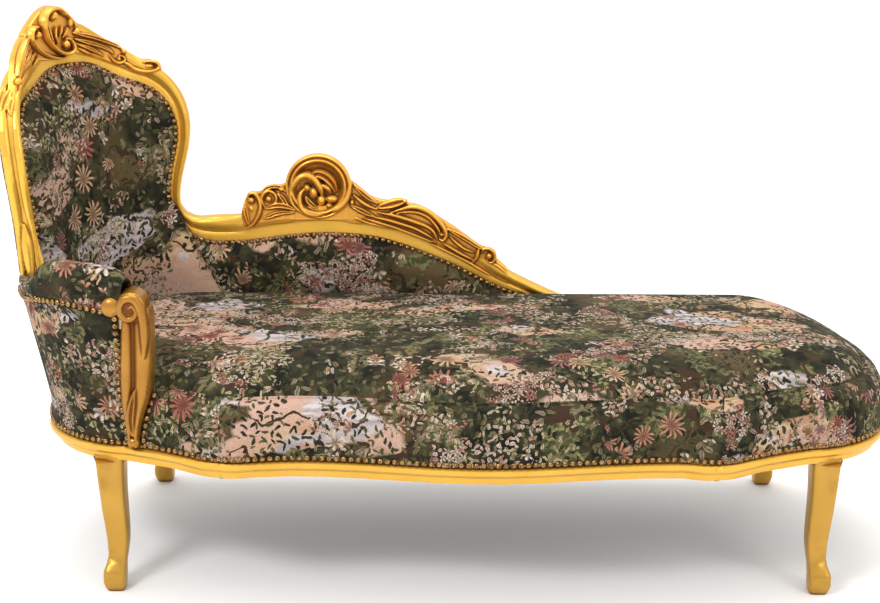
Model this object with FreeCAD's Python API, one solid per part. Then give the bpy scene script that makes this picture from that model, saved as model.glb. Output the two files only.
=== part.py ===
import FreeCAD, Part
import math
import os

# Chaise longue: a gilded, moulded wood frame on four cabriole legs, a wrapped tall back at the
# head end, a low back that sweeps down along the rear, one arm, and tight upholstery.
# Millimetres, +Z up, +X from the head end to the foot end, +Y to the rear.
os.makedirs("parts", exist_ok=True)
Vector = FreeCAD.Vector
UP = Vector(0, 0, 1)
ALONG = Vector(1, 0, 0)
FRONT = Vector(0, -1, 0)

# Seat frame, seen from above: nail line of the upholstery
end_reach = 840
tip_radius = 410
tip_angle = 18
rear_depth = 300
elbow_x = 459
elbow_depth = 364
hollow_reach = 350
hollow_depth = 342
bow_centre = 35
bow_depth = 377
knee_x = 644
knee_depth = 271
side_x = 560
side_depth = 305

# Seat rails
rail_bottom = 262
rail_top = 345
rail_thickness = 44
bow_sides = 14
end_sides = (2, 8, 3, 8)
fillet_height = 299
fabric_step = 6
bead_radius = 9
bead_reach = 4
groove_depth = 4
lip_height = 12
lip_inset = 8
lip_tuck = 12

# Legs
leg_top_x = 683
leg_top_y = 228
leg_foot_x = 679
leg_foot_y = 257
leg_block = 66
leg_turn = 20
leg_corner = 11
rear_rake = 24
toe_radius = 12
toe_length = 26
toe_reach = 8
toe_lift = 8
leg_sway_way = (0.6, 0.8)

# Joinery of the seat frame
tenon_length = 50
tenon_thickness = 9
tenon_width = 40
tenon_base = 290
cross_rail_x = 230
cross_rail_width = 40
cross_rail_height = 50
block_clearance = 6
block_height = 36
block_base = 296
block_length = 70
block_depth = 34

# Seat upholstery
webbing_width = 50
webbing_thickness = 2
webbing_pitch = 110
webbing_row_pitch = 92
burlap_thickness = 1.5
skin = 3
soft_gap = 0.3
crease_height = 408
crease_inset = 47
seat_height = 455
crown_inset = 130
rear_fullness = 0.7
dust_cover_thickness = 1.5
dust_cover_lap = 28

# Tall back, wrapped on an upright cylinder about the head end's centre
back_centre = 587
back_middle = 37
face_radius = 286
frame_thickness = 32
roll_height = 8
rebate = 14
edge_undercut = 2
frame_steps = 2
foot_flare = 8
back_bend = 21
bend_top = 850
bend_bottom = 560
panel_crown = 26
panel_edge = 8
panel_foot = 352
panel_sides = 8
face_inset = 34
post_set = 2
tack_height = 462
tack_width = 38
post_depth_gap = 4
tack_depth_gap = 6
band_heights = (600, 675, 750, 825, 890)
pad_gap = 0.9
cover_gap = 3
cover_lap = 1.5
cover_floor = 300

# Arm
arm_front_angle = -119
arm_cover_end = -120
arm_inner_crown = 9
arm_line = 570
arm_rail_width = 32
arm_rail_height = 34
arm_pad_width = 62
arm_pad_top = 648
post_x = -611
post_depth = 42
scroll_set = 7
scroll_radius = 28
scroll_height = 577
scroll_bulge = 4
scroll_ease = 4
knob_radius = 21
knob_reach = 21
post_clearance = 20
pad_post_gap = 1
pad_fullness = 0.75

# Low back
strut_places = (-480, -300, -120, 60)
strut_width = 32
strut_depth = 26
low_crown = 16
full_crown_height = 60
seam_slant = 116
seam_fade = 300
slice_tops = (-600, -540, -470, -383, -296, -209, -143, -78, -12, 54, 120, 200)
low_cover_last = 455

# Carvings
rocaille_x = -319
rocaille_z = 686
rocaille_radius = 71
rocaille_sides = 16
rocaille_bead = 11
petal_count = 5
petal_sweep = 95
carving_back = 16
tube_sides = 6
bead_sides = 6
carved_roll = 2
crest_middle = -6


def shape_union(shapes):
    whole = shapes[0]
    if len(shapes) > 1:
        whole = shapes[0].fuse(shapes[1:])
    return whole


def arc(first, middle, last):
    return Part.Arc(first, middle, last).toShape()


def line(first, last):
    return Part.makeLine(first, last)


def curve(points, level=()):
    """A smooth edge through the points; at those named in level it runs along X."""
    spline = Part.BSplineCurve()
    if level:
        flags = [place in level for place in range(len(points))]
        spline.interpolate(Points=points, Tangents=[ALONG] * len(points), TangentFlags=flags)
    else:
        spline.interpolate(points)
    return spline.toShape()


def refine(stations, steps):
    """Smooth in-between stations, so that a member bends evenly between its measured ones."""
    last = len(stations) - 1
    finer = []
    for place in range(last):
        before = stations[max(place - 1, 0)]
        first = stations[place]
        second = stations[place + 1]
        after = stations[min(place + 2, last)]
        for step in range(steps):
            t = step / steps
            values = []
            for a, b, c, d in zip(before, first, second, after):
                bend = (2 * a - 5 * b + 4 * c - d) * t * t + (3 * b - a - 3 * c + d) * t * t * t
                values.append(b + 0.5 * ((c - a) * t + bend))
            finer.append(tuple(values))
    finer.append(tuple(stations[-1]))
    return finer


def polygon(points):
    return Part.makePolygon(points + [points[0]])


def skin_solid(sections):
    """Closed solid over a run of flat sections with equal counts of points, in flat facets."""
    faces = [Part.Face(polygon(sections[0])), Part.Face(polygon(sections[-1]))]
    count = len(sections[0])
    for near, later in zip(sections, sections[1:]):
        for place in range(count):
            after = (place + 1) % count
            a, b, c, d = near[place], near[after], later[after], later[place]
            if (a - c).Length <= (b - d).Length:
                corners = ((a, b, c), (a, c, d))
            else:
                corners = ((a, b, d), (b, c, d))
            for corner in corners:
                faces.append(Part.Face(polygon(list(corner))))
    shell = Part.makeShell(faces)
    shell.sewShape()
    solid = Part.makeSolid(shell)
    solid.fixTolerance(0.0001)
    return solid if solid.Volume > 0 else solid.reversed()


def box(x_low, x_high, y_low, y_high, z_low, z_high):
    return Part.makeBox(x_high - x_low, y_high - y_low, z_high - z_low, Vector(x_low, y_low, z_low))


def prism(points, height):
    return Part.Face(polygon(points)).extrude(Vector(0, 0, height))


# Plan of the seat frame


def tip_point(degrees, inset, z):
    """A point on the foot end's flat tip arc; negative angles are towards the front."""
    turn = math.radians(degrees)
    radius = tip_radius - inset
    return Vector(end_reach - tip_radius + radius * math.cos(turn), radius * math.sin(turn), z)


def corner_centre(degrees, radius):
    """Centre of the corner arc that carries on smoothly from the tip arc."""
    turn = math.radians(degrees)
    return tip_point(degrees, 0, 0) - Vector(math.cos(turn), math.sin(turn), 0) * radius


knee = Vector(knee_x, -knee_depth, 0)
tip_front = tip_point(-tip_angle, 0, 0)
tip_way = Vector(math.cos(math.radians(tip_angle)), -math.sin(math.radians(tip_angle)), 0)
front_radius = (tip_front - knee).Length ** 2 / (2 * tip_way.dot(tip_front - knee))
front_centre = corner_centre(-tip_angle, front_radius)
rear_radius = (rear_depth + tip_front.y) / (1 + tip_way.y)
rear_centre = corner_centre(tip_angle, rear_radius)
knee_turn = math.degrees(math.atan2(knee.y - front_centre.y, knee.x - front_centre.x))


def around(centre, radius, degrees, z):
    turn = math.radians(degrees)
    return Vector(centre.x + radius * math.cos(turn), centre.y + radius * math.sin(turn), z)


def end_arcs(inset, z):
    """The foot end from knee to rear: front corner, tip and rear corner."""
    front = front_radius - inset
    rear = rear_radius - inset
    middle_turn = (knee_turn - tip_angle) / 2
    start = around(front_centre, front, knee_turn, z)
    tip_start = tip_point(-tip_angle, inset, z)
    tip_end = tip_point(tip_angle, inset, z)
    rear_end = around(rear_centre, rear, 90, z)
    edges = [arc(start, around(front_centre, front, middle_turn, z), tip_start)]
    edges.append(arc(tip_start, tip_point(0, inset, z), tip_end))
    edges.append(arc(tip_end, around(rear_centre, rear, (90 + tip_angle) / 2, z), rear_end))
    return start, edges, rear_end


def plan_runs(inset, z):
    """The outline's edges in three groups: front bow, right-hand end, rear line."""
    elbow_right = Vector(elbow_x - 0.08 * inset, 1.08 * inset - elbow_depth, z)
    elbow_left = Vector(-elbow_right.x, elbow_right.y, z)
    bow = [elbow_left]
    bow.append(Vector(bow_centre - hollow_reach, inset - hollow_depth, z))
    bow.append(Vector(bow_centre, inset - bow_depth, z))
    bow.append(Vector(bow_centre + hollow_reach, inset - hollow_depth, z))
    bow.append(elbow_right)
    knee_end, end_edges, rear_end = end_arcs(inset, z)
    hip = Vector(side_x - 0.4 * inset, 0.92 * inset - side_depth, z)
    right = [arc(elbow_right, hip, knee_end)] + end_edges
    return curve(bow, (1, 2, 3)), right, line(rear_end, Vector(-rear_end.x, rear_end.y, z))


def outline(inset, z):
    """Outline of the seat frame, drawn in by inset from the nail line, in short straight sides."""
    bow, right, rear = plan_runs(inset, z)
    half = []
    for edge, sides in zip(right, end_sides):
        half += edge.discretize(Number=sides + 1)[:-1]
    half.append(rear.discretize(Number=2)[0])
    points = bow.discretize(Number=bow_sides + 1)[:-1] + half
    points += [Vector(-point.x, point.y, z) for point in reversed(half)][:-1]
    return points


def full_outline(inset, z):
    """The seat's own outline, which keeps fuller along the rear than along the front."""
    points = []
    for point in outline(inset, z):
        fuller = max(0, point.y) * rear_fullness * inset / (rear_depth - inset)
        points.append(Vector(point.x, point.y + fuller, z))
    return points


def plan_solid(inset, z, height):
    return prism(outline(inset, z), height)


# Seat rails: one moulded ring, cut into rails and leg blocks


def rail_profile():
    """Inset and height of the rail's outer face, from the bottom up."""
    steps = []
    for turn in (0, 45, 90):
        sine = math.sin(math.radians(turn))
        cosine = math.cos(math.radians(turn))
        steps.append((lip_inset + lip_tuck * (1 - sine), rail_bottom + lip_height * (1 - cosine)))
    bead_middle = fillet_height - bead_radius
    steps.append((lip_inset, bead_middle - bead_radius - groove_depth / 2))
    for turn in (-60, -15, 30, 70):
        reach = bead_radius * math.cos(math.radians(turn))
        rise = bead_radius * math.sin(math.radians(turn))
        steps.append((bead_radius - bead_reach - reach, bead_middle + rise))
    steps.append((fabric_step, fillet_height))
    steps.append((fabric_step, rail_top))
    return steps


rail_ring = skin_solid([outline(inset, z) for inset, z in rail_profile()])
rail_hole = plan_solid(rail_thickness, rail_bottom - 1, rail_top - rail_bottom + 2)
rail_ring = rail_ring.cut(rail_hole)
block_low = leg_top_x - leg_block / 2
block_high = leg_top_x + leg_block / 2
far = 1200


def ring_piece(x_low, x_high, y_low, y_high):
    return rail_ring.common(box(x_low, x_high, y_low, y_high, 0, rail_top + 1))


front_rail = ring_piece(-block_low, block_low, -far, 0)
rear_rail = ring_piece(-block_low, block_low, 0, far)
head_rail = ring_piece(-far, -block_high, -far, far)
foot_rail = ring_piece(block_high, far, -far, far)


# Legs


def rounded_square(centre_x, centre_y, z, size, turn):
    """A square with eased corners, as a closed wire of short sides."""
    corner = leg_corner * size / leg_block
    core = size / 2 - corner
    points = []
    for quarter in range(4):
        for ease in (5, 45, 85):
            along = corner * math.cos(math.radians(ease)) + core
            beside = corner * math.sin(math.radians(ease)) + core
            spin = math.radians(turn + 90 * quarter)
            x = centre_x + along * math.cos(spin) - beside * math.sin(spin)
            y = centre_y + along * math.sin(spin) + beside * math.cos(spin)
            points.append(Vector(x, y, z))
    return points


# Share of the height, width, and sway outwards along the leg's diagonal
leg_stations = (
    (0.0, 34, 0),
    (0.03, 42, 2),
    (0.08, 45, 2),
    (0.15, 41, -4),
    (0.26, 44, -10),
    (0.47, 50, -8),
    (0.74, 57, -1),
    (1.0, 65, 0),
)


def leg_solid(side_of_x, side_of_y):
    sections = []
    foot_y = leg_foot_y + (rear_rake if side_of_y > 0 else 0)
    turn = leg_turn * side_of_x * side_of_y
    for share, size, sway in leg_stations:
        x = leg_foot_x + (leg_top_x - leg_foot_x) * share + leg_sway_way[0] * sway
        y = foot_y + (leg_top_y - foot_y) * share + leg_sway_way[1] * sway
        sections.append(rounded_square(side_of_x * x, side_of_y * y, rail_bottom * share, size, turn))
    post = skin_solid(sections)
    top = prism(sections[-1], rail_top - rail_bottom)
    y_low = -far if side_of_y < 0 else 0
    x_low = block_low if side_of_x > 0 else -block_high
    block = ring_piece(x_low, x_low + leg_block, y_low, y_low + far)
    inner_top = top.common(plan_solid(rail_thickness - fabric_step, rail_bottom, rail_top - rail_bottom))
    inner_top = inner_top.common(box(x_low, x_low + leg_block, y_low, y_low + far, 0, rail_top))
    toe_way = Vector(leg_sway_way[0] * side_of_x, leg_sway_way[1] * side_of_y, 0)
    toe_axis = Vector(-toe_way.y, toe_way.x, 0)
    toe_centre = Vector(side_of_x * leg_foot_x, side_of_y * foot_y, 0) + toe_way * toe_reach
    toe_start = toe_centre + UP * (toe_radius + toe_lift) - toe_axis * (toe_length / 2)
    toe = Part.makeCylinder(toe_radius, toe_length, toe_start, toe_axis)
    return shape_union([block, inner_top, post, toe])


legs = {}
for x_name, side_of_x in (("head", -1), ("foot", 1)):
    for y_name, side_of_y in (("front", -1), ("rear", 1)):
        legs[y_name + "_" + x_name] = leg_solid(side_of_x, side_of_y)

# Seat structure


def inner_fit(shape):
    """Trim a piece that spans the frame to the rails' inner faces."""
    return shape.common(plan_solid(rail_thickness, 0, rail_top + 1))


cross_top = rail_top - block_clearance


def cross_rail(x):
    blank = box(x - cross_rail_width / 2, x + cross_rail_width / 2, -far, far,
                cross_top - cross_rail_height, cross_top)
    return inner_fit(blank)


def corner_block(side_of_x, side_of_y):
    """A glued block in the corner between a leg and its front or rear rail."""
    reach = block_low - block_length
    blank = box(reach, block_low, -far, far, block_base, block_base + block_height)
    if side_of_x < 0:
        blank = blank.mirror(Vector(), ALONG)
    blank = inner_fit(blank)
    inner_line = plan_solid(rail_thickness + block_depth, 0, rail_top + 1)
    blank = blank.cut(inner_line)
    half = box(-far, far, 0, far, 0, far) if side_of_y > 0 else box(-far, far, -far, 0, 0, far)
    return blank.common(half)


nodes = {}
nodes["front_rail"] = front_rail
nodes["rear_rail"] = rear_rail
nodes["head_rail"] = head_rail
nodes["foot_rail"] = foot_rail
for name in legs:
    nodes["leg_" + name] = legs[name]
nodes["cross_rail_head"] = cross_rail(-cross_rail_x)
nodes["cross_rail_foot"] = cross_rail(cross_rail_x)

# Loose tenons across every joint between a rail and a leg block


def rail_middle(x, side_of_y):
    """Depth of the rail's middle line at one X."""
    cut_line = line(Vector(x, 0, 0), Vector(x, side_of_y * far, 0))
    middle_line = polygon(outline((rail_thickness + fabric_step) / 2, 0))
    return middle_line.distToShape(cut_line)[1][0][0].y


tenons = []
for joint_x in (-block_high, -block_low, block_low, block_high):
    for side_of_y in (-1, 1):
        middle_y = rail_middle(joint_x, side_of_y)
        half_length = tenon_length / 2
        half_thick = tenon_thickness / 2
        y_low = middle_y - half_thick
        y_high = middle_y + half_thick
        tenon = box(joint_x - half_length, joint_x + half_length, y_low, y_high,
                    tenon_base, tenon_base + tenon_width)
        tenons.append(tenon)
        for name in nodes:
            if nodes[name].BoundBox.intersect(tenon.BoundBox):
                nodes[name] = nodes[name].cut(tenon)
nodes["rail_tenons"] = Part.makeCompound(tenons)

blocks = []
for side_of_x in (-1, 1):
    for side_of_y in (-1, 1):
        blocks.append(corner_block(side_of_x, side_of_y))
nodes["corner_blocks"] = Part.makeCompound(blocks)


# Wrapped frame of the tall back


def lean(z):
    """How far the back's face is drawn in towards its foot."""
    share = (bend_top - z) / (bend_top - bend_bottom)
    return back_bend * min(1, max(0, share))


straight_angle = 90 - back_middle
plan_radii = {}


def plan_radius(angle):
    """Distance from the tall back's centre to the line on the seat frame where its face starts."""
    if angle not in plan_radii:
        turn = math.radians(back_middle + angle)
        centre = Vector(-back_centre, 0, 0)
        ray = line(centre, centre + Vector(-math.cos(turn), math.sin(turn), 0) * far)
        meeting = polygon(outline(face_inset, 0)).distToShape(ray)[1][0][0]
        plan_radii[angle] = (meeting - centre).Length
    return plan_radii[angle]


def radius_at(angle, z):
    """Radius of the wrapped face; below the stiles' feet it runs in to the seat frame's outline."""
    if z >= bend_bottom:
        return face_radius - lean(z)
    share = min(1, (bend_bottom - z) / (bend_bottom - rail_top))
    return (1 - share) * (face_radius - back_bend) + share * plan_radius(angle)


def back_point(angle, z, out=0):
    """A point on the tall back: angle 0 is its middle, out is measured outwards from its face.

    Past the angle where the face looks straight to the front it runs on along X, like the low back.
    """
    curved = min(angle, straight_angle)
    radius = radius_at(curved, z) + out
    turn = math.radians(back_middle + curved)
    run_on = (face_radius - back_bend) * math.radians(angle - curved)
    return Vector(run_on - back_centre - radius * math.cos(turn), radius * math.sin(turn), z)


def low_point(x, z, out=0):
    """A point on the low back, which carries straight on from the tall back's rear edge."""
    return Vector(x, face_radius - lean(z) + out, z)


# Across a member's face: share of its width, fixed height, and share of the roll's height
face_profile = (
    (0.0, 0, 0),
    (0.2, 1.2, 0),
    (0.33, -1.5, 0),
    (0.45, 0, 0.15),
    (0.54, 0, 0.6),
    (0.65, 0, 0.93),
    (0.77, 0, 1),
    (0.89, 0, 0.75),
    (0.97, 0, 0.3),
    (1.0, 0, -0.35),
)


def moulded_section(inner, outer, out_way, roll, thickness=frame_thickness, tuck=rebate):
    """Closed section of a show-wood member, from its nail line to its outer edge."""
    across = outer - inner
    width = across.Length
    across.normalize()
    points = [inner - across * tuck]
    for share, height, swell in face_profile:
        points.append(inner + across * (width * share) - out_way * (height + swell * roll))
    points.append(outer - across * edge_undercut + out_way * thickness)
    points.append(inner - across * tuck + out_way * thickness)
    return points


def back_section(inner_angle, inner_z, outer_angle, outer_z, roll):
    middle = math.radians(back_middle + (inner_angle + outer_angle) / 2)
    out_way = Vector(-math.cos(middle), math.sin(middle), 0)
    return moulded_section(back_point(inner_angle, inner_z), back_point(outer_angle, outer_z), out_way, roll)


def low_section(inner_x, inner_z, outer_x, outer_z, roll):
    rear_way = Vector(0, 1, 0)
    return moulded_section(low_point(inner_x, inner_z), low_point(outer_x, outer_z), rear_way, roll)


# Nail line and outer edge as angle and height, from the crest's middle down the rear side
crest_half = (
    (0, 962, 0, 1048, carved_roll),
    (7, 960, 8, 1034, carved_roll),
    (14, 950, 15.5, 1010, carved_roll),
    (21, 930, 24, 984, carved_roll),
    (27, 917, 31, 962, roll_height),
)
stile_top = (
    (27, 917, 31, 962, roll_height),
    (33, 907, 37, 946, roll_height),
    (38.5, 889, 43, 924, roll_height),
    (42.5, 868, 47.5, 895, roll_height),
    (45.2, 840, 50.5, 861, roll_height),
    (46.5, 812, 52, 817, roll_height),
    (46.1, 776, 51.3, 771, roll_height),
    (43.9, 731, 49, 725, roll_height),
    (42.4, 686, 47.1, 683, roll_height),
    (42.4, 654, 46.8, 652, roll_height),
)
front_foot = (
    (42.6, 620, 47.4, 618, roll_height + foot_flare / 2),
    (43.2, 585, 48.2, 583, roll_height + foot_flare),
    (43.4, 552, 48.6, 550, roll_height + foot_flare),
)
rear_bend = (
    (43.2, 634, 47.8, 637, roll_height),
    (45.6, 609, 49.6, 625, roll_height),
)
# The same as X and height along the low back
bend_end = (
    (-598, 585, -592, 618, roll_height),
    (-579, 576, -578, 616, roll_height),
)
low_run = (
    (-579, 576, -578, 616, roll_height),
    (-547, 567, -540, 619, roll_height),
    (-470, 569, -474, 622, carved_roll),
    (-383, 581, -386, 636, carved_roll),
    (-296, 586, -298, 645, carved_roll),
    (-209, 580, -200, 638, carved_roll),
    (-143, 564, -128, 620, carved_roll),
    (-78, 540, -58, 590, carved_roll),
    (-12, 511, 14, 552, carved_roll),
    (54, 477, 80, 508, roll_height),
    (120, 450, 138, 477, roll_height),
    (200, 412, 214, 442, roll_height),
    (300, 372, 312, 402, roll_height),
    (390, 338, 400, 368, roll_height),
    (455, 318, 462, 348, roll_height),
)


def low_line(x):
    """Height of the low back's nail line at an X."""
    for (x0, z0, *_), (x1, z1, *_) in zip(low_run, low_run[1:]):
        if x0 <= x <= x1:
            return z0 + (z1 - z0) * (x - x0) / (x1 - x0)
    return low_run[0][1]


def back_member(stations, side=1):
    sections = []
    for a, b, c, d, roll in refine(stations, frame_steps):
        sections.append(back_section(side * a, b, side * c, d, roll))
    return sections


def low_member(stations):
    return [low_section(*station) for station in refine(stations, frame_steps)]


crest_left = back_member(crest_half, -1)
crest_rail = skin_solid(crest_left[::-1] + back_member(crest_half)[1:])
front_stile = skin_solid(back_member(stile_top + front_foot, -1))
rear_stile = skin_solid(back_member(stile_top + rear_bend) + low_member(bend_end))
low_rail = skin_solid(low_member(low_run))
low_rail = low_rail.cut(box(-far, far, -far, far, 0, rail_top))

nodes["back_crest_rail"] = crest_rail
nodes["back_stile_front"] = front_stile
nodes["back_stile_rear"] = rear_stile
nodes["low_back_rail"] = low_rail


# Hidden posts, tacking rails and struts of the two backs


def wrapped_section(level, sides):
    """A band's section at one height: angles of its ends, front and back depth, and their crowns."""
    z, first, last, front, back, crown, back_crown = level
    front_side = []
    back_side = []
    for step in range(sides + 1):
        t = step / sides
        angle = first + (last - first) * t
        swell = 1 - (2 * t - 1) ** 4
        front_side.append(back_point(angle, z, front - crown * swell))
        back_side.append(back_point(angle, z, back - back_crown * swell))
    return front_side + back_side[::-1]


def wrapped_band(levels, sides):
    return skin_solid([wrapped_section(level, sides) for level in levels])


def plain_band(first, last, z_low, z_high, front, back, sides):
    return wrapped_band([(z, first, last, front, back, 0, 0) for z in (z_low, z_high)], sides)


front_angle = -front_foot[-1][0]
post_angle = -front_foot[-1][2]
rear_angle = rear_bend[-1][0] + 1
rear_post_end = rear_bend[-1][2] + 2
post_back = frame_thickness - post_depth_gap
front_post = plain_band(post_angle, front_angle, rail_top, front_foot[-1][1], post_set, post_back, 1)
rear_post = plain_band(rear_angle, rear_post_end, rail_top, rear_bend[-1][1], post_set, post_back, 1)
nodes["stile_post_front"] = front_post.cut(front_stile)
nodes["stile_post_rear"] = rear_post.cut(rear_stile)
nodes["back_tacking_rail"] = plain_band(front_angle, rear_angle, tack_height, tack_height + tack_width,
                                        post_set, frame_thickness - tack_depth_gap, panel_sides)

foot_face = face_radius - back_bend
struts = []
for x in strut_places:
    y_front = foot_face + post_set
    x_low = x - strut_width / 2
    strut = box(x_low, x_low + strut_width, y_front, y_front + strut_depth, rail_top, low_line(x))
    struts.append(strut.cut(low_rail).Solids[0])
nodes["low_back_struts"] = Part.makeCompound(struts)


# Arm: rail, pad and the scrolled post in front

arm_rail_level = arm_line - arm_rail_height
nodes["arm_rail"] = plain_band(arm_front_angle, post_angle, arm_rail_level, arm_line, 0, arm_rail_width,
                               panel_sides)


# Across the arm post's face: share of its width, and rise of its two reeds
reed_profile = (
    (1, -4),
    (0.93, 0),
    (0.78, 2),
    (0.62, 0),
    (0.5, -4),
    (0.38, 0),
    (0.22, 2),
    (0.07, 0),
    (0, -4),
)

# Height, left edge, right edge, front and back depth of the arm post
post_stations = (
    (fillet_height, -25, -3, 291, 262),
    (320, -25, -3, 291, 258),
    (348, -29, 2, 291, 252),
    (376, -32, 10, 291, 247),
    (400, -33, 18, 291, 246),
    (450, -33, 25, 290, 244),
    (555, -30, 28, 288, 244),
    (575, -30, 19, 288, 244),
)


def post_section(z, left, right, front, back):
    """A section with a hollow between two rounded reeds down its front face."""
    width = right - left
    points = [Vector(post_x + left, -back, z), Vector(post_x + right, -back, z)]
    for share, rise in reed_profile:
        points.append(Vector(post_x + left + width * share, -front - rise, z))
    return points


def eased_drum(radius, length, start):
    """A short drum that lies front to back, with its front edge eased."""
    drum = Part.makeCylinder(radius, length - scroll_ease, start, FRONT)
    cap_start = start + FRONT * (length - scroll_ease)
    return drum.fuse(Part.makeCone(radius, radius - scroll_ease, scroll_ease, cap_start, FRONT))


arm_post = skin_solid([post_section(*station) for station in post_stations])
scroll_middle = (post_stations[-1][3] + post_stations[-1][4]) / 2
scroll_start = Vector(post_x - scroll_set, -scroll_middle + post_depth / 2, scroll_height)
scroll = eased_drum(scroll_radius, post_depth + scroll_bulge, scroll_start)
knob_start = scroll_start - ALONG * knob_reach
knob = eased_drum(knob_radius, post_depth - 2, knob_start)
arm_post = shape_union([arm_post, scroll, knob])
arm_post = arm_post.cut(plan_solid(fabric_step, 0, rail_top))
arm_post = arm_post.cut(rail_ring)
arm_post = arm_post.cut(nodes["arm_rail"])
nodes["arm_post"] = arm_post


def pad_section(angle, top_z):
    """Half-round section of the arm pad, standing on the arm rail."""
    outer_radius = radius_at(angle, arm_line) + arm_rail_width + 2
    inner_radius = outer_radius - arm_pad_width
    turn = math.radians(back_middle + angle)
    way = Vector(-math.cos(turn), math.sin(turn), 0)
    base = Vector(-back_centre, 0, arm_line + soft_gap)
    rise = top_z - base.z
    low_out = base + way * outer_radius
    low_in = base + way * inner_radius
    centre = (low_out + low_in) * 0.5
    half = arm_pad_width / 2
    side = []
    for turn in range(0, 181, 20):
        sine = math.sin(math.radians(turn))
        side.append(centre + way * (half * math.cos(math.radians(turn))) + UP * (rise * sine ** pad_fullness))
    return side


# Share of the pad's length and of its full height, from the back stile to the post
pad_stations = ((0, 0.05), (0.27, 0.08), (0.34, 0.5), (0.42, 0.82), (0.58, 0.96), (0.78, 1), (1, 0.7))
pad_sections = []
pad_last = arm_front_angle + pad_post_gap
for share, full in pad_stations:
    angle = post_angle + (pad_last - post_angle) * share
    pad_sections.append(pad_section(angle, arm_line + (arm_pad_top - arm_line) * full))
arm_pad = skin_solid(pad_sections).cut(arm_post).cut(front_stile)
nodes["arm_pad"] = arm_pad.Solids[0]


# Seat upholstery: webbing, burlap, foam, cover and boxing border

band_top = rail_top + webbing_thickness
cross_band_top = band_top + webbing_thickness
long_bands = []
for row in range(-2, 3):
    y = row * webbing_row_pitch
    long_bands.append(box(-far, far, y - webbing_width / 2, y + webbing_width / 2, rail_top, band_top))
cross_bands = []
for row in range(-5, 6):
    x = row * webbing_pitch
    cross_bands.append(box(x - webbing_width / 2, x + webbing_width / 2, -far, far, band_top, cross_band_top))
back_clear_inset = rear_depth - foot_face + panel_edge + skin + cover_gap
seat_zone = plan_solid(back_clear_inset, 0, far)
nodes["seat_webbing_long"] = Part.makeCompound([band.common(seat_zone) for band in long_bands])
nodes["seat_webbing_cross"] = Part.makeCompound([band.common(seat_zone) for band in cross_bands])
nodes["seat_burlap"] = plan_solid(back_clear_inset, cross_band_top, burlap_thickness)

cloth_inset = fabric_step - soft_gap - skin
side_profile = (
    (cloth_inset, fillet_height + 1),
    (cloth_inset, rail_top),
    (cloth_inset + 0.14 * crease_inset, rail_top + 0.45 * (crease_height - rail_top)),
    (cloth_inset + 0.45 * crease_inset, rail_top + 0.83 * (crease_height - rail_top)),
    (crease_inset, crease_height),
)


def crown_profile(drop):
    """Inset and height of the seat's top, lowered by drop."""
    steps = []
    for share in (0.15, 0.45, 1):
        rise = (seat_height - crease_height) * math.sin(math.radians(90 * share)) ** 0.8
        steps.append((crease_inset + crown_inset * share, crease_height + rise - drop))
    return steps


def soft_body(profile):
    return skin_solid([full_outline(inset, z) for inset, z in profile])


# The backs and the arm stand on the frame at the head end and along the rear
low_end = low_run[-1][2]
back_zone = box(-far, low_end, 0, far, 0, far).fuse(box(-far, post_x, -far, 0, 0, far))
back_zone = back_zone.cut(seat_zone)

foam_base = cross_band_top + burlap_thickness
foam_sides = [(inset + skin + soft_gap, z) for inset, z in side_profile[2:]]
foam_sides.insert(0, (foam_sides[0][0], foam_base))
top_drop = skin + soft_gap
foam_sides[-1] = (foam_sides[-1][0], crease_height - top_drop)
seat_foam = soft_body(foam_sides + crown_profile(top_drop))
border = soft_body(side_profile).cut(soft_body([(inset + skin, z) for inset, z in side_profile]))
top_outer = soft_body([(crease_inset, crease_height)] + crown_profile(0))
top_inner = soft_body([(crease_inset + skin, crease_height)] + crown_profile(skin))
nodes["seat_foam"] = seat_foam.cut(back_zone).cut(arm_post)
nodes["seat_cover_border"] = border.cut(back_zone).cut(arm_post)
nodes["seat_cover_top"] = top_outer.cut(top_inner).cut(back_zone)
dust_base = rail_bottom - dust_cover_thickness
dust = plan_solid(rail_thickness - dust_cover_lap / 2, dust_base, dust_cover_thickness)
for name in legs:
    dust = dust.cut(legs[name])
nodes["dust_cover"] = dust

# Upholstery of the tall back, inside its nail line

# Height, half-angles to the front and to the rear, and share of the full crown
panel_stations = (
    (panel_foot, 43.4, 74.4, 0),
    (seat_height, 43.4, 64, 0.05),
    (552, 43.4, 53, 0.9),
    (594, 43, 48.4, 1),
    (654, 42.4, 42.4, 1),
    (731, 43.9, 43.9, 1),
    (776, 46.1, 46.1, 1),
    (812, 46.5, 46.5, 1),
    (840, 45.2, 45.2, 0.95),
    (868, 42.5, 42.5, 0.85),
    (889, 38.5, 38.5, 0.75),
    (907, 33, 33, 0.6),
    (930, 21, 21, 0.4),
    (950, 14, 14, 0.2),
    (960, 7, 7, 0),
)


def panel_reach(z):
    """Half-angles to the front and to the rear, and share of the crown, at one height."""
    for low, high in zip(panel_stations, panel_stations[1:]):
        if low[0] <= z <= high[0]:
            share = (z - low[0]) / (high[0] - low[0])
            return [a + (b - a) * share for a, b in zip(low[1:], high[1:])]


def panel_levels(front, back, crown, back_crown, margin, lowest=panel_foot):
    """Levels of a wrapped pad or cover that ends a margin inside the nail line."""
    levels = []
    for z in [lowest] + [z for z, *_ in panel_stations if z > lowest]:
        left, right, full = panel_reach(z)
        levels.append((z, margin - left, right - margin, front, back, crown * full, back_crown * full))
    return levels


webbing_front = webbing_thickness + soft_gap
bands = []
for z in band_heights:
    reach = min(panel_reach(z)[0], panel_reach(z + webbing_width)[0])
    bands.append(plain_band(-reach, reach, z, z + webbing_width, -webbing_front, -soft_gap, panel_sides))
nodes["back_webbing"] = Part.makeCompound(bands)

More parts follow.
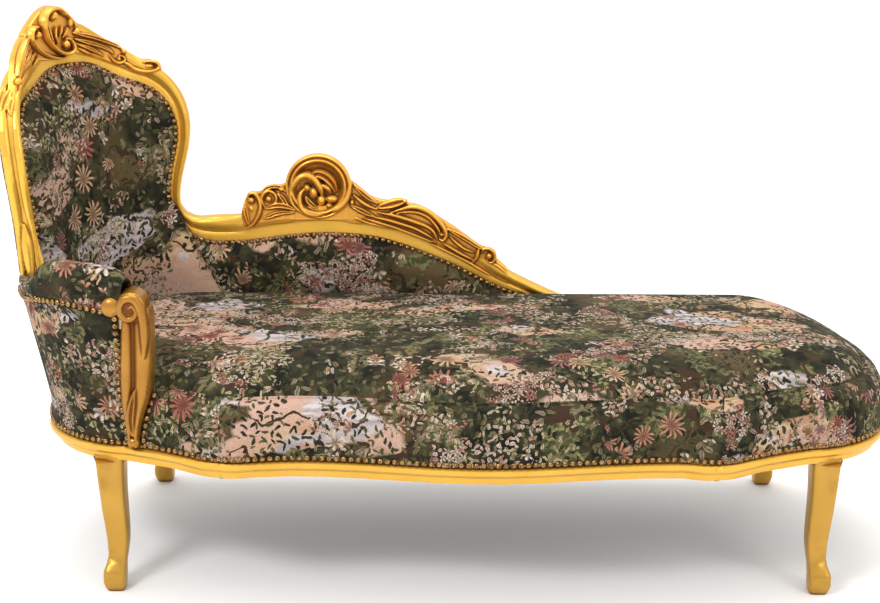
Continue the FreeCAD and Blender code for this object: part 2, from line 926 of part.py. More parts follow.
foam_back = -webbing_front - pad_gap
skin_front = -panel_edge - skin
foam_levels = panel_levels(-panel_edge, foam_back, panel_crown, 0, soft_gap)
cover_levels = panel_levels(skin_front, -panel_edge - soft_gap, panel_crown, panel_crown, soft_gap)
cover_in = frame_thickness + cover_gap
cover_out = cover_in + skin
nodes["back_foam"] = wrapped_band(foam_levels, panel_sides).cut(nodes["back_webbing"])
nodes["back_cover_inner"] = wrapped_band(cover_levels, panel_sides)
outer_levels = panel_levels(cover_out, cover_in, 0, 0, -cover_lap, arm_line + skin)
nodes["back_cover_outer"] = wrapped_band(outer_levels, panel_sides)

# Outside cover of the head end and the arm, from the seat rail up to the arm's height
rail_in = face_inset - fabric_step + cover_gap
head_levels = []
for z, inner_depth in ((cover_floor, rail_in), (rail_top, rail_in), (arm_line, cover_in)):
    head_levels.append((z, arm_cover_end, straight_angle, inner_depth + skin, inner_depth, 0, 0))
head_cover = wrapped_band(head_levels, 2 * panel_sides)
post_front = skin_solid([post_section(z, left, right, front + post_clearance, back)
                         for z, left, right, front, back in post_stations])
nodes["head_cover_outer"] = head_cover.cut(post_front).cut(arm_post).cut(front_stile)

# Padding and cover on the arm's inner face
arm_levels = [(panel_foot, arm_front_angle, front_angle - soft_gap, skin_front, -pad_gap, 0, 0)]
arm_above_seat = arm_line - soft_gap - seat_height
for share, full in ((0, 0.05), (0.48, 1), (0.83, 0.8), (1, 0)):
    z = seat_height + arm_above_seat * share
    crown = arm_inner_crown * full
    arm_levels.append((z, arm_front_angle, front_angle - soft_gap, skin_front, -pad_gap, crown, 0))
arm_cover = wrapped_band(arm_levels, panel_sides)
for neighbour in (arm_post, front_stile, nodes["arm_rail"]):
    arm_cover = arm_cover.cut(neighbour)
nodes["arm_cover_inner"] = arm_cover

# Upholstery of the low back, in upright slices that lean over to the seam beside the tall back


def low_slice(x_top, z_low, front, back, crown, back_crown):
    x_low = x_top + seam_slant * max(0, 1 - (x_top - slice_tops[0]) / seam_fade)
    z_high = low_line(x_top) - soft_gap
    seat_share = min((seat_height - z_low) / (z_high - z_low), 0.9)
    bare = 1 - seat_share
    height = max(0, z_high - seat_height)
    front_side = []
    back_side = []
    shares = [0] + [seat_share + bare * step for step in (0, 0.15, 0.5, 0.85, 1)]
    for share in shares:
        z = z_low + (z_high - z_low) * share
        x = x_low + (x_top - x_low) * share
        above = max(0, share - seat_share) / bare
        swell = max(0, math.sin(math.pi * above)) ** 0.5 * min(1, height / full_crown_height)
        front_side.append(low_point(x, z, front - crown * swell))
        back_side.append(low_point(x, z, back - back_crown * swell))
    return front_side + back_side[::-1]


def low_panel(front, back, crown, back_crown):
    return skin_solid([low_slice(x, panel_foot, front, back, crown, back_crown) for x in slice_tops])


nodes["low_back_foam"] = low_panel(-panel_edge, -pad_gap, low_crown, 0)
nodes["low_back_cover_inner"] = low_panel(skin_front, -panel_edge - soft_gap, low_crown, low_crown)

rear_face = foot_face + frame_thickness + pad_gap


def low_cover_slice(x):
    """Outside cover of the low back: it stands on the seat rail and laps on to the show-wood rail."""
    lip = rear_depth - fabric_step + soft_gap
    z_high = max(low_line(x) + rebate, rail_top + skin)
    high = low_point(x, z_high, frame_thickness + pad_gap)
    inner = [Vector(x, lip, cover_floor), Vector(x, rear_face, rail_top), high]
    outer = [point + Vector(0, skin, 0) for point in inner]
    return outer + inner[::-1]


cover_stations = [x for x, *_ in low_run if -back_centre < x < low_cover_last] + [low_cover_last]
nodes["low_back_cover_outer"] = skin_solid([low_cover_slice(x) for x in cover_stations])


# Carvings. A place function turns a position along the member, a height and a depth into a point.

# Across a carved leaf: share of its width and of its relief
leaf_profile = ((0, 0.2), (0.14, 0.75), (0.28, 0.4), (0.45, 1), (0.6, 0.55), (0.78, 0.9), (0.92, 0.5), (1, 0))


def leaf_strip(place, stations, steps):
    """Fluted leaf work; each station is a position, heights of root and edge, and relief."""
    sections = []
    for at, root, edge, relief in refine(stations, steps):
        section = []
        for share, rise in leaf_profile:
            section.append(place(at, root + (edge - root) * share, -relief * rise))
        section.append(place(at, edge, carving_back))
        section.append(place(at, root, carving_back))
        sections.append(section)
    return skin_solid(sections)


def scroll(place, stations):
    """A carved band along a path; each station is a position, height, depth, half-width and half-depth."""
    path = refine(stations, 2)
    spots = [place(at, z, out) for at, z, out, *_ in path]
    sections = []
    for number, (at, z, out, wide, deep) in enumerate(path):
        ahead = spots[min(number + 1, len(spots) - 1)] - spots[max(number - 1, 0)]
        forward = (place(at, z, out - 1) - spots[number]).normalize()
        beside = forward.cross(ahead).normalize()
        section = []
        for side in range(tube_sides):
            turn = 2 * math.pi * side / tube_sides
            sideways = beside * (wide * math.cos(turn))
            section.append(spots[number] + sideways + forward * (deep * math.sin(turn)))
        sections.append(section)
    return skin_solid(sections)


def turned(place, at, z, sides, rings):
    """A turned form that looks forward; each ring is a radius and a depth."""
    forward = (place(at, z, -1) - place(at, z, 0)).normalize()
    beside = UP.cross(forward)
    sections = []
    for radius, out in rings:
        section = []
        for side in range(sides):
            turn = 2 * math.pi * side / sides
            spot = place(at, z, out) + beside * (radius * math.cos(turn))
            section.append(spot + UP * (radius * math.sin(turn)))
        sections.append(section)
    return skin_solid(sections)


def bead(place, at, z, radius, out):
    rings = []
    for size, rise in ((1, 0), (1, 0.6), (0.75, 1.1), (0.3, 1.3)):
        rings.append((size * radius, out - rise * radius))
    return turned(place, at, z, bead_sides, rings)


def flat_low(x, z, out):
    """Depth on the rocaille's own upright plane."""
    return Vector(x, low_point(rocaille_x, rocaille_z, out).y, z)


# Along a blade of the pinwheel: share of its sweep, share of the radius, depth, half-width, half-depth
petal_run = (
    (0, 0.74, -4, 3, 3),
    (0.35, 0.7, -9, 7, 5),
    (0.7, 0.45, -11, 8, 6),
    (1, 0.16, -8, 4, 4),
)


def petal(number):
    """One blade of the rocaille's pinwheel, from the rim round to the middle."""
    stations = []
    for share, radius, out, wide, deep in petal_run:
        turn = math.radians(360 * number / petal_count + petal_sweep * share)
        x = rocaille_x + rocaille_radius * radius * math.cos(turn)
        z = rocaille_z + rocaille_radius * radius * math.sin(turn)
        stations.append((x, z, out, wide, deep))
    return scroll(flat_low, stations)


rim_rings = (
    (rocaille_radius, carving_back),
    (rocaille_radius, -4),
    (rocaille_radius - 5, -13),
    (rocaille_radius - 12, -13),
    (rocaille_radius - 17, -5),
    (rocaille_radius - 28, 2),
    (rocaille_radius / 3, 4),
)
rocaille = [turned(low_point, rocaille_x, rocaille_z, rocaille_sides, rim_rings)]
rocaille += [petal(number) for number in range(petal_count)]
rocaille.append(bead(low_point, rocaille_x, rocaille_z, rocaille_bead, 2))
nodes["low_back_rocaille"] = shape_union(rocaille).cut(low_rail)

# Position along X, heights of the leaf's root and edge, and relief
left_leaf = (
    (-486, 596, 630, 4),
    (-468, 596, 655, 12),
    (-442, 600, 674, 14),
    (-410, 604, 686, 15),
    (-386, 606, 692, 12),
    (-376, 608, 668, 11),
    (-367, 610, 642, 8),
)
right_leaf = (
    (-268, 610, 644, 7),
    (-259, 608, 682, 8),
    (-252, 606, 700, 8),
    (-228, 604, 684, 12),
    (-198, 602, 662, 15),
    (-143, 590, 654, 16),
    (-100, 578, 646, 16),
    (-56, 558, 620, 15),
    (-13, 534, 592, 13),
    (31, 508, 559, 11),
    (65, 486, 531, 8),
    (92, 472, 508, 4),
)
for name, leaf in (("low_back_leaf", left_leaf), ("low_back_acanthus", right_leaf)):
    strip = leaf_strip(low_point, leaf, 2)
    nodes[name] = strip.cut(low_rail).cut(nodes["low_back_rocaille"])


def crest_place(angle, z, out):
    return back_point(crest_middle + angle, z, out)


# Angle from the crest's middle, height, depth, half-width and half-depth
main_scroll = (
    (-1, 1072, -8, 5, 6),
    (-7, 1070, -12, 7, 8),
    (-10, 1054, -15, 8, 9),
    (-8, 1028, -16, 8, 9),
    (-4, 1004, -16, 8, 9),
    (1.5, 988, -16, 8, 9),
    (7, 990, -16, 7, 8),
    (8.5, 1002, -14, 6, 7),
    (5, 1010, -12, 4, 5),
)
side_scroll = (
    (-8, 1042, -10, 4, 5),
    (-13, 1044, -12, 6, 6),
    (-17.5, 1036, -12, 6, 7),
    (-18, 1018, -13, 6, 7),
    (-13, 996, -13, 6, 7),
    (-5, 979, -12, 5, 6),
    (4, 973, -10, 3, 4),
)
peak_stations = (
    (-20, 985, 1032, 4),
    (-13, 975, 1056, 7),
    (-7, 972, 1074, 9),
    (-1, 972, 1080, 10),
    (5, 975, 1066, 8),
    (11, 980, 1044, 6),
)
plain_leaf = (
    (10, 976, 1040, 9),
    (14, 972, 1030, 13),
    (19, 964, 1015, 14),
    (25, 952, 1000, 14),
    (29, 944, 990, 12),
    (33, 938, 986, 10),
    (37, 930, 965, 8),
    (44, 914, 938, 4),
)
side_leaf = (
    (-40, 924, 948, 3),
    (-37, 932, 968, 6),
    (-34, 938, 984, 8),
    (-29, 944, 1000, 12),
    (-24, 952, 1016, 13),
    (-18, 962, 1034, 12),
)
crest_carving = [leaf_strip(crest_place, leaf, 1) for leaf in (peak_stations, plain_leaf, side_leaf)]
crest_carving += [scroll(crest_place, main_scroll), scroll(crest_place, side_scroll)]
for angle, z, radius in ((1, 1056, 9), (-13, 1024, 9), (5, 1003, 9), (35, 972, 12), (-36, 966, 11)):
    crest_carving.append(bead(crest_place, angle, z, radius, -2))
crest_carving = shape_union(crest_carving)
for member in (crest_rail, front_stile, rear_stile):
    crest_carving = crest_carving.cut(member)
nodes["crest_carving"] = crest_carving

# The origin lies on the floor below the middle of the whole piece
extent = Part.makeCompound(list(nodes.values())).BoundBox
to_origin = Vector(-extent.Center.x, -extent.Center.y, -extent.ZMin)
for name in nodes:
    shape = nodes[name].translated(to_origin)
    print(name, len(shape.Solids), shape.isValid(), round(shape.Volume), shape.BoundBox)
    shape.exportStep("parts/" + name + ".step")
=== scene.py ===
import bmesh
import bpy
import contextlib
import math
import numpy
from mathutils import Matrix, Vector


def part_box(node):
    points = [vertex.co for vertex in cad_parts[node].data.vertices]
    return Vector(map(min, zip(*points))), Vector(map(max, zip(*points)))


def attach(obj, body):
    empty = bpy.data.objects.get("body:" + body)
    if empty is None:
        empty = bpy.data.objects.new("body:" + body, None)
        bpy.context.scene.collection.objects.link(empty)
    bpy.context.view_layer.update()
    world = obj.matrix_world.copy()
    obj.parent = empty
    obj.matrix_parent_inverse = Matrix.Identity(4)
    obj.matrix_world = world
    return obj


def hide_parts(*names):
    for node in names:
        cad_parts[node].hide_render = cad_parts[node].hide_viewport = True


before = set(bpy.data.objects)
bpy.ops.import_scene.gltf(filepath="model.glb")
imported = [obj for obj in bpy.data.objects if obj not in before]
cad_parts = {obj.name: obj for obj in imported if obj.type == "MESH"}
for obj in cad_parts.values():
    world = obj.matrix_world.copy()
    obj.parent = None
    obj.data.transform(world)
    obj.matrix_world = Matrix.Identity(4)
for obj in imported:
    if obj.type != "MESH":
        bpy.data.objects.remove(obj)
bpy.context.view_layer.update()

# Camera: a long lens at standing height in front of the long side, looking a little down.
# All plan sizes below are millimetres from the middle of the seat frame, so seat_middle puts them
# in the frame's own metres, from where the foot end's front leg stands.
leg_corner = Vector((0.644765, -0.28275, 0))
seat_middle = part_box("leg_front_foot")[0] - leg_corner
eye = seat_middle + Vector((-0.0544, -2.9017, 1.3458))
pitch, yaw, roll = math.radians(16.1135), math.radians(-0.0193), math.radians(0.2962)
frame_width = 880
focal_length = 1500


def in_scene(name, data):
    """A new object in the scene."""
    holder = bpy.data.objects.new(name, data)
    bpy.context.scene.collection.objects.link(holder)
    return holder


camera_data = bpy.data.cameras.new("camera")
camera = in_scene("camera", camera_data)
camera_data.sensor_width = 36
camera_data.lens = 36 * focal_length / frame_width
camera_data.clip_end = 100
forward = Vector((math.sin(yaw) * math.cos(pitch), math.cos(yaw) * math.cos(pitch), -math.sin(pitch)))
level_right = Vector((math.cos(yaw), -math.sin(yaw), 0))
level_up = level_right.cross(forward)
right = level_right * math.cos(roll) + level_up * math.sin(roll)
up = level_up * math.cos(roll) - level_right * math.sin(roll)
camera.matrix_world = Matrix.Translation(eye) @ Matrix((right, up, -forward)).transposed().to_4x4()
bpy.context.scene.camera = camera
bpy.context.scene.view_settings.view_transform = "Standard"

# Studio: one pale floor that fills the view, a pale sky and large soft lamps. The functions that
# build node trees for every material stand here too.


def material_tree(name):
    """A new material, its node tree and its surface shader."""
    finish = bpy.data.materials.new(name)
    finish.use_nodes = True
    return finish, finish.node_tree, finish.node_tree.nodes["Principled BSDF"]


def set_inputs(tree, node, values):
    """Link or set a node's inputs, which are given by name or by number."""
    for name, value in values.items():
        if isinstance(value, bpy.types.NodeSocket):
            tree.links.new(value, node.inputs[name])
        else:
            node.inputs[name].default_value = value


def part_of(tree, kind, values=(), **settings):
    """A node with its settings; its inputs have names or numbers, or else are given in order."""
    made = tree.nodes.new(kind)
    for key, value in settings.items():
        setattr(made, key, value)
    if not isinstance(values, dict):
        shown = [number for number, socket in enumerate(made.inputs) if socket.enabled]
        values = dict(zip(shown, values))
    set_inputs(tree, made, values)
    return made


def maths(tree, operation, *values):
    return part_of(tree, "ShaderNodeMath", values, operation=operation).outputs[0]


def vector_maths(tree, operation, *values):
    made = part_of(tree, "ShaderNodeVectorMath", values, operation=operation)
    return made.outputs[1 if operation == "LENGTH" else 0]


def scaled(tree, value, factor):
    return part_of(tree, "ShaderNodeVectorMath", {0: value, "Scale": factor}, operation="SCALE").outputs[0]


def mixed(tree, share, *colours, blend="MIX"):
    """One colour laid over another by share."""
    first, second = [(*colour, 1) if isinstance(colour, tuple) else colour for colour in colours]
    values = {0: share, 6: first, 7: second}
    return part_of(tree, "ShaderNodeMix", values, data_type="RGBA", blend_type=blend).outputs[2]


def noise(tree, place, scale, detail=2.0, roughness=0.5):
    values = {"Vector": place, "Scale": scale, "Detail": detail, "Roughness": roughness}
    return part_of(tree, "ShaderNodeTexNoise", values, noise_dimensions="3D").outputs[0]


def spread(tree, value, low, high):
    """Value stretched so that low is 0 and high is 1, and held there."""
    return part_of(tree, "ShaderNodeMapRange", (value, low, high, 0, 1), clamp=True).outputs[0]


def bump(tree, shader, height, strength, distance):
    made = part_of(tree, "ShaderNodeBump", {"Strength": strength, "Distance": distance, "Height": height})
    tree.links.new(made.outputs[0], shader.inputs["Normal"])


def object_place(tree):
    return tree.nodes.new("ShaderNodeTexCoord").outputs["Object"]


floor_reach = 40
floor_mesh = bpy.data.meshes.new("floor")
floor_mesh.from_pydata([(x, y, 0) for x, y in ((-1, -1), (1, -1), (1, 1), (-1, 1))], [], [(0, 1, 2, 3)])
floor_mesh.transform(Matrix.Scale(floor_reach, 4))
floor = in_scene("floor", floor_mesh)
floor_paint, floor_tree, floor_shader = material_tree("floor_paint")
floor_cloud = noise(floor_tree, object_place(floor_tree), 3.0)
floor_tint = mixed(floor_tree, floor_cloud, (0.9, 0.9, 0.9), (0.93, 0.93, 0.93))
set_inputs(floor_tree, floor_shader, {"Base Color": floor_tint, "Roughness": 0.8})
floor_mesh.materials.append(floor_paint)

sky = bpy.data.worlds.new("studio")
bpy.context.scene.world = sky
sky.use_nodes = True
sky_tree = sky.node_tree
sky_way = sky_tree.nodes.new("ShaderNodeTexCoord").outputs["Generated"]
sky_height = part_of(sky_tree, "ShaderNodeSeparateXYZ", (sky_way,)).outputs[2]
ceiling = part_of(sky_tree, "ShaderNodeMapRange", (sky_height, 0.0, 0.8, 0.35, 1.5), clamp=True).outputs[0]
horizon = spread(sky_tree, sky_height, 0.27, 0.19)
sky_light = maths(sky_tree, "MAXIMUM", ceiling, horizon)
set_inputs(sky_tree, sky_tree.nodes["Background"], {"Strength": sky_light, "Color": (1, 0.99, 0.97, 1)})


def lamp(name, place, aim, size, power):
    light = bpy.data.lights.new(name, "AREA")
    light.shape = "RECTANGLE"
    light.size, light.size_y = size
    light.energy = power
    holder = in_scene(name, light)
    holder.location = place
    holder.rotation_euler = (Vector(aim) - Vector(place)).to_track_quat("-Z", "Y").to_euler()


lamp("key_lamp", (-1.9, -2.2, 2.9), (0, 0, 0.5), (0.9, 0.7), 52)
lamp("fill_lamp", (2.4, -2.2, 2.0), (0, 0, 0.4), (1.2, 1.6), 18)
lamp("top_lamp", (0, 0.5, 3.2), (0, 0, 0.4), (2.6, 0.8), 30)

# Gilded show wood: carved beech, gessoed and gilded, burnished bright on the high parts, with a
# warm brown wash left in the hollows. The leaf shows fine laps and small worn spots.
worn_tone = (0.45, 0.2, 0.04)
wash_tone = (0.17, 0.055, 0.008)


def gilding(name, wash, light, deep):
    """Gold leaf in two tones over carved wood; wash is how strongly the brown stays in the hollows."""
    finish, tree, shader = material_tree(name)
    place = object_place(tree)
    laps = noise(tree, place, 14.0, 3.0)
    wear = noise(tree, place, 60.0, 4.0, 0.6)
    spots = maths(tree, "MULTIPLY", spread(tree, wear, 0.64, 0.72), 0.3)
    leaf = mixed(tree, spots, mixed(tree, laps, light, deep), worn_tone)
    hollow = part_of(tree, "ShaderNodeAmbientOcclusion", {"Distance": 0.014}, samples=8).outputs["AO"]
    cuts = part_of(tree, "ShaderNodeAttribute", attribute_name="hollow").outputs["Fac"]
    shade = maths(tree, "MAXIMUM", spread(tree, hollow, 0.92, 0.35), spread(tree, cuts, -0.15, 0.55))
    shade = maths(tree, "MULTIPLY", shade, wash)
    leaf = mixed(tree, shade, leaf, wash_tone)
    gloss = maths(tree, "MULTIPLY_ADD", wear, 0.2, 0.2)
    gloss = maths(tree, "ADD", gloss, maths(tree, "MULTIPLY", shade, 0.25))
    set_inputs(tree, shader, {"Base Color": leaf, "Metallic": 0.65, "Roughness": gloss})
    tool_marks = maths(tree, "ADD", noise(tree, place, 90.0, 2.0), maths(tree, "MULTIPLY", laps, 2.0))
    bump(tree, shader, tool_marks, 0.25, 0.0015)
    return finish


plain_gilding = gilding("gilding", 0.8, (0.9, 0.55, 0.09), (0.74, 0.39, 0.038))
# The legs' gilding is a darker copy of the same leaf: its lower tones are painted shade, for legs that take
# less light.
leg_gilding_painted_shade = gilding("gilding_legs_painted_shade", 0.9, (0.62, 0.37, 0.065), (0.48, 0.25, 0.03))
carved_gilding = gilding("gilding_carved", 1.0, (0.93, 0.48, 0.075), (0.76, 0.33, 0.035))
# The arm post's gilding is a much darker copy of the same leaf: its brown tones are painted shade, for a post
# that stands in shade.
post_gilding_painted_shade = gilding("gilding_post_painted_shade", 1.0, (0.5, 0.25, 0.04), (0.27, 0.105, 0.011))


def sharpen(mesh, degrees):
    """Smooth shading, with the edges that turn more than so many degrees kept crisp."""
    mesh.shade_smooth()
    mesh.set_sharp_from_angle(angle=math.radians(degrees))


def piece_object(name, mesh, finish):
    """A finished piece: its place is in its mesh and it rides on the one body."""
    piece = in_scene(name, mesh)
    mesh.materials.clear()
    mesh.materials.append(finish)
    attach(piece, "root")
    return piece


@contextlib.contextmanager
def edited(mesh):
    """A mesh's editable form, which is written back to it at the end."""
    shape = bmesh.new()
    shape.from_mesh(mesh)
    yield shape
    shape.to_mesh(mesh)
    shape.free()


loose_gap = 0.00002


def merged_copy(node):
    """A copy of a frame node's mesh, with its loose triangles joined."""
    shape = bmesh.new()
    shape.from_mesh(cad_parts[node].data)
    bmesh.ops.remove_doubles(shape, verts=shape.verts, dist=loose_gap)
    mesh = bpy.data.meshes.new(node)
    shape.to_mesh(mesh)
    shape.free()
    for layer in list(mesh.uv_layers):
        mesh.uv_layers.remove(layer)
    for extra in ("custom_normal", "sharp_face"):
        if extra in mesh.attributes:
            mesh.attributes.remove(mesh.attributes[extra])
    return mesh


def cut_across(shape, place, way, **settings):
    """Cut a shape in two at a plane."""
    parts = shape.verts[:] + shape.edges[:] + shape.faces[:]
    return bmesh.ops.bisect_plane(shape, geom=parts, plane_co=place, plane_no=way, **settings)


elbow_x = 459
elbow_half = 42
elbow_sharpness = 0.0067


def elbow_ease(x):
    """How far the seat's outline is drawn back to round off its two front corners."""
    return elbow_sharpness * max(0.0, elbow_half - abs(abs(x) - elbow_x)) ** 2


def round_elbows(mesh):
    """Cut a rail finely near the seat's front corners and bend it round them."""
    with edited(mesh) as shape:
        for side in (-1, 1):
            for step in range(-6, 7):
                x = side * elbow_x + step * elbow_half / 6
                cut_across(shape, seat_middle + Vector((x / 1000, 0, 0)), (1, 0, 0))
        for vertex in shape.verts:
            spot = (vertex.co - seat_middle) * 1000
            if spot.y < 0:
                vertex.co.y += elbow_ease(spot.x) / 1000


crease_angle = 38
for node in ("front_rail", "rear_rail", "head_rail", "foot_rail", "back_crest_rail", "back_stile_front",
             "back_stile_rear", "low_back_rail"):
    mesh = merged_copy(node)
    if node in ("front_rail", "head_rail", "foot_rail"):
        round_elbows(mesh)
    sharpen(mesh, crease_angle)
    piece = piece_object("gilded_" + node, mesh, plain_gilding)
    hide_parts(node)

# Tapestry: a jacquard-woven verdure of blossoms and leaves on a dark green ground, with paler
# clearings. Its threads are about a millimetre apart, and its UV map is in metres of cloth.
full_turn = 6.28


def woven_cells(tree, place, scale, seed):
    """Scattered motifs: where a point lies from its motif's middle, and the motif's random tones."""
    moved = vector_maths(tree, "ADD", place, (seed, seed * 0.7, 0))
    cells = part_of(tree, "ShaderNodeTexVoronoi", {"Vector": moved, "Scale": scale, "Randomness": 0.85},
                    voronoi_dimensions="2D", feature="F1")
    away = vector_maths(tree, "SUBTRACT", moved, cells.outputs["Position"])
    tones = part_of(tree, "ShaderNodeSeparateColor", (cells.outputs["Color"],)).outputs
    return scaled(tree, away, scale), tones


def blossom(tree, place, scale, seed, petals, size):
    """Blossoms: mask, a light to dark figure across the petals, and a random tone each."""
    away, tones = woven_cells(tree, place, scale, seed)
    parts = part_of(tree, "ShaderNodeSeparateXYZ", (away,)).outputs
    turn = maths(tree, "ARCTAN2", parts[1], parts[0])
    turn = maths(tree, "ADD", turn, maths(tree, "MULTIPLY", tones[0], full_turn))
    wave = maths(tree, "COSINE", maths(tree, "MULTIPLY", turn, petals))
    reach = vector_maths(tree, "LENGTH", away)
    rim = maths(tree, "MULTIPLY", maths(tree, "MULTIPLY_ADD", wave, 0.3, 0.72),
                maths(tree, "MULTIPLY_ADD", tones[1], size * 0.5, size * 0.65))
    mask = maths(tree, "LESS_THAN", reach, rim)
    vein = spread(tree, wave, -0.4, 0.9)
    heart = spread(tree, maths(tree, "DIVIDE", reach, rim), 0.1, 0.55)
    return mask, maths(tree, "MULTIPLY", vein, heart), tones


def leaves(tree, place, scale, seed, slim):
    """Leaves: mask, a figure that is dark on the midrib, and a random tone each."""
    away, tones = woven_cells(tree, place, scale, seed)
    turn = maths(tree, "MULTIPLY", tones[0], full_turn)
    turned = part_of(tree, "ShaderNodeVectorRotate", {"Vector": away, "Angle": turn}, rotation_type="Z_AXIS")
    parts = part_of(tree, "ShaderNodeSeparateXYZ", (turned.outputs[0],)).outputs
    along = maths(tree, "POWER", maths(tree, "DIVIDE", parts[0], 0.5), 2.0)
    beside = maths(tree, "ABSOLUTE", parts[1])
    across = maths(tree, "POWER", maths(tree, "DIVIDE", beside, slim), 2.0)
    mask = maths(tree, "LESS_THAN", maths(tree, "ADD", along, across), 1.0)
    return mask, spread(tree, beside, 0.02, 0.1), tones


def tones_of(tree, value, colours):
    """One of a few thread colours, picked by a random value."""
    ramp = tree.nodes.new("ShaderNodeValToRGB")
    ramp.color_ramp.interpolation = "CONSTANT"
    stops = ramp.color_ramp.elements
    for number, colour in enumerate(colours):
        stop = stops[number] if number < 2 else stops.new(number / len(colours))
        stop.position = number / len(colours)
        stop.color = (*colour, 1)
    tree.links.new(value, ramp.inputs[0])
    return ramp.outputs[0]


thread = 0.0011


def tapestry(name, shift):
    """The cloth; shift picks another stretch of the same design."""
    finish, tree, shader = material_tree(name)
    uv = tree.nodes.new("ShaderNodeUVMap")
    uv.uv_map = "cloth"
    cloth = vector_maths(tree, "ADD", uv.outputs[0], (shift[0], shift[1], 0))
    threads = vector_maths(tree, "SNAP", cloth, (thread, thread, 1))
    sway = part_of(tree, "ShaderNodeTexNoise", {"Vector": threads, "Scale": 45.0}, noise_dimensions="2D")
    drift = vector_maths(tree, "SUBTRACT", sway.outputs[1], (0.5, 0.5, 0.5))
    place = vector_maths(tree, "MULTIPLY_ADD", drift, (0.012, 0.012, 0), threads)

    ground_tone = noise(tree, place, 30.0, 3.0)
    ground = mixed(tree, spread(tree, ground_tone, 0.42, 0.62), (0.011, 0.012, 0.009), (0.045, 0.046, 0.022))
    wide = noise(tree, place, 4.5, 1.0)
    ground = mixed(tree, spread(tree, wide, 0.52, 0.66), ground, (0.1, 0.075, 0.035))

    crowns = noise(tree, vector_maths(tree, "ADD", place, (1.7, 6.4, 0)), 9.0, 4.0)
    crown_tone = mixed(tree, spread(tree, noise(tree, place, 90.0, 1.0), 0.45, 0.55), (0.05, 0.06, 0.028),
                       (0.16, 0.15, 0.07))
    ground = mixed(tree, spread(tree, crowns, 0.56, 0.575), ground, crown_tone)
    clearing = noise(tree, vector_maths(tree, "MULTIPLY", place, (2.6, 6.0, 1)), 1.0, 2.5)
    meadow_tone = noise(tree, vector_maths(tree, "MULTIPLY", place, (14, 55, 1)), 1.0, 2.0)
    meadow = mixed(tree, spread(tree, meadow_tone, 0.4, 0.62), (0.52, 0.42, 0.25), (0.42, 0.21, 0.13))
    meadow = mixed(tree, spread(tree, wide, 0.42, 0.58), meadow, (0.52, 0.36, 0.29))
    cloth_tone = mixed(tree, spread(tree, clearing, 0.55, 0.565), ground, meadow)

    sky_mask = noise(tree, vector_maths(tree, "MULTIPLY", place, (2.4, 4.4, 1)), 1.3, 2.0)
    streak = noise(tree, vector_maths(tree, "MULTIPLY", place, (10, 70, 1)), 1.0, 2.0)
    pale_sky = mixed(tree, spread(tree, streak, 0.42, 0.6), (0.33, 0.31, 0.33), (0.56, 0.53, 0.54))
    cloth_tone = mixed(tree, spread(tree, sky_mask, 0.605, 0.62), cloth_tone, pale_sky)

    bough = noise(tree, vector_maths(tree, "ADD", place, (3.3, 1.2, 0)), 7.0, 2.0)
    bough = maths(tree, "LESS_THAN", maths(tree, "ABSOLUTE", maths(tree, "SUBTRACT", bough, 0.5)), 0.011)
    cloth_tone = mixed(tree, bough, cloth_tone, (0.05, 0.03, 0.018))

    layers = (
        ("leaf", 70.0, 1.3, 0.2, 0.45,
         ((0.035, 0.045, 0.02), (0.085, 0.09, 0.04), (0.16, 0.15, 0.08), (0.015, 0.02, 0.012))),
        ("leaf", 52.0, 4.1, 0.2, 0.53,
         ((0.17, 0.15, 0.07), (0.06, 0.07, 0.03), (0.25, 0.22, 0.15), (0.02, 0.026, 0.016))),
        ("bloom", 15.0, 8.8, 12, 0.57,
         ((0.36, 0.12, 0.09), (0.44, 0.22, 0.15), (0.52, 0.35, 0.22), (0.3, 0.13, 0.12))),
        ("leaf", 95.0, 7.7, 0.24, 0.565,
         ((0.5, 0.42, 0.34), (0.18, 0.17, 0.1), (0.42, 0.25, 0.19), (0.6, 0.5, 0.43))),
        ("leaf", 78.0, 2.2, 0.17, 0.57,
         ((0.55, 0.5, 0.33), (0.36, 0.36, 0.16), (0.5, 0.44, 0.3), (0.1, 0.11, 0.05))),
        ("bloom", 72.0, 2.9, 5, 0.6,
         ((0.6, 0.53, 0.47), (0.5, 0.33, 0.29), (0.55, 0.45, 0.35), (0.36, 0.17, 0.14))),
        ("bloom", 33.0, 5.3, 6, 0.625,
         ((0.62, 0.54, 0.48), (0.52, 0.33, 0.28), (0.45, 0.26, 0.15), (0.58, 0.5, 0.38))),
    )
    for kind, scale, seed, form, cover, colours in layers:
        large = scale < 20
        if kind == "leaf":
            mask, figure, tones = leaves(tree, place, scale, seed, form)
        else:
            mask, figure, tones = blossom(tree, place, scale, seed, form, 0.4 if large else 0.62)
        bunches = noise(tree, vector_maths(tree, "ADD", place, (seed, 0, 0)), 5.0 if large else 8.0, 2.5)
        mask = maths(tree, "MULTIPLY", mask, maths(tree, "GREATER_THAN", bunches, cover))
        tone = tones_of(tree, tones[2], colours)
        tone = mixed(tree, figure, mixed(tree, 0.72, tone, (0.03, 0.02, 0.015)), tone)
        cloth_tone = mixed(tree, mask, cloth_tone, tone)
    fleck = part_of(tree, "ShaderNodeTexWhiteNoise", (threads,), noise_dimensions="2D")
    fleck_tone = mixed(tree, fleck.outputs[0], (0.62, 0.57, 0.54), (1.05, 0.97, 0.93))
    cloth_tone = mixed(tree, 1.0, cloth_tone, fleck_tone, blend="MULTIPLY")
    set_inputs(tree, shader, {"Base Color": cloth_tone, "Roughness": 0.95, "Sheen Weight": 0.03,
                              "Specular IOR Level": 0.1})
    rib = part_of(tree, "ShaderNodeSeparateXYZ", (scaled(tree, cloth, math.pi / thread),))
    weave = maths(tree, "MULTIPLY", maths(tree, "SINE", rib.outputs[0]), maths(tree, "SINE", rib.outputs[1]))
    bump(tree, shader, weave, 0.35, 0.0004)
    return finish


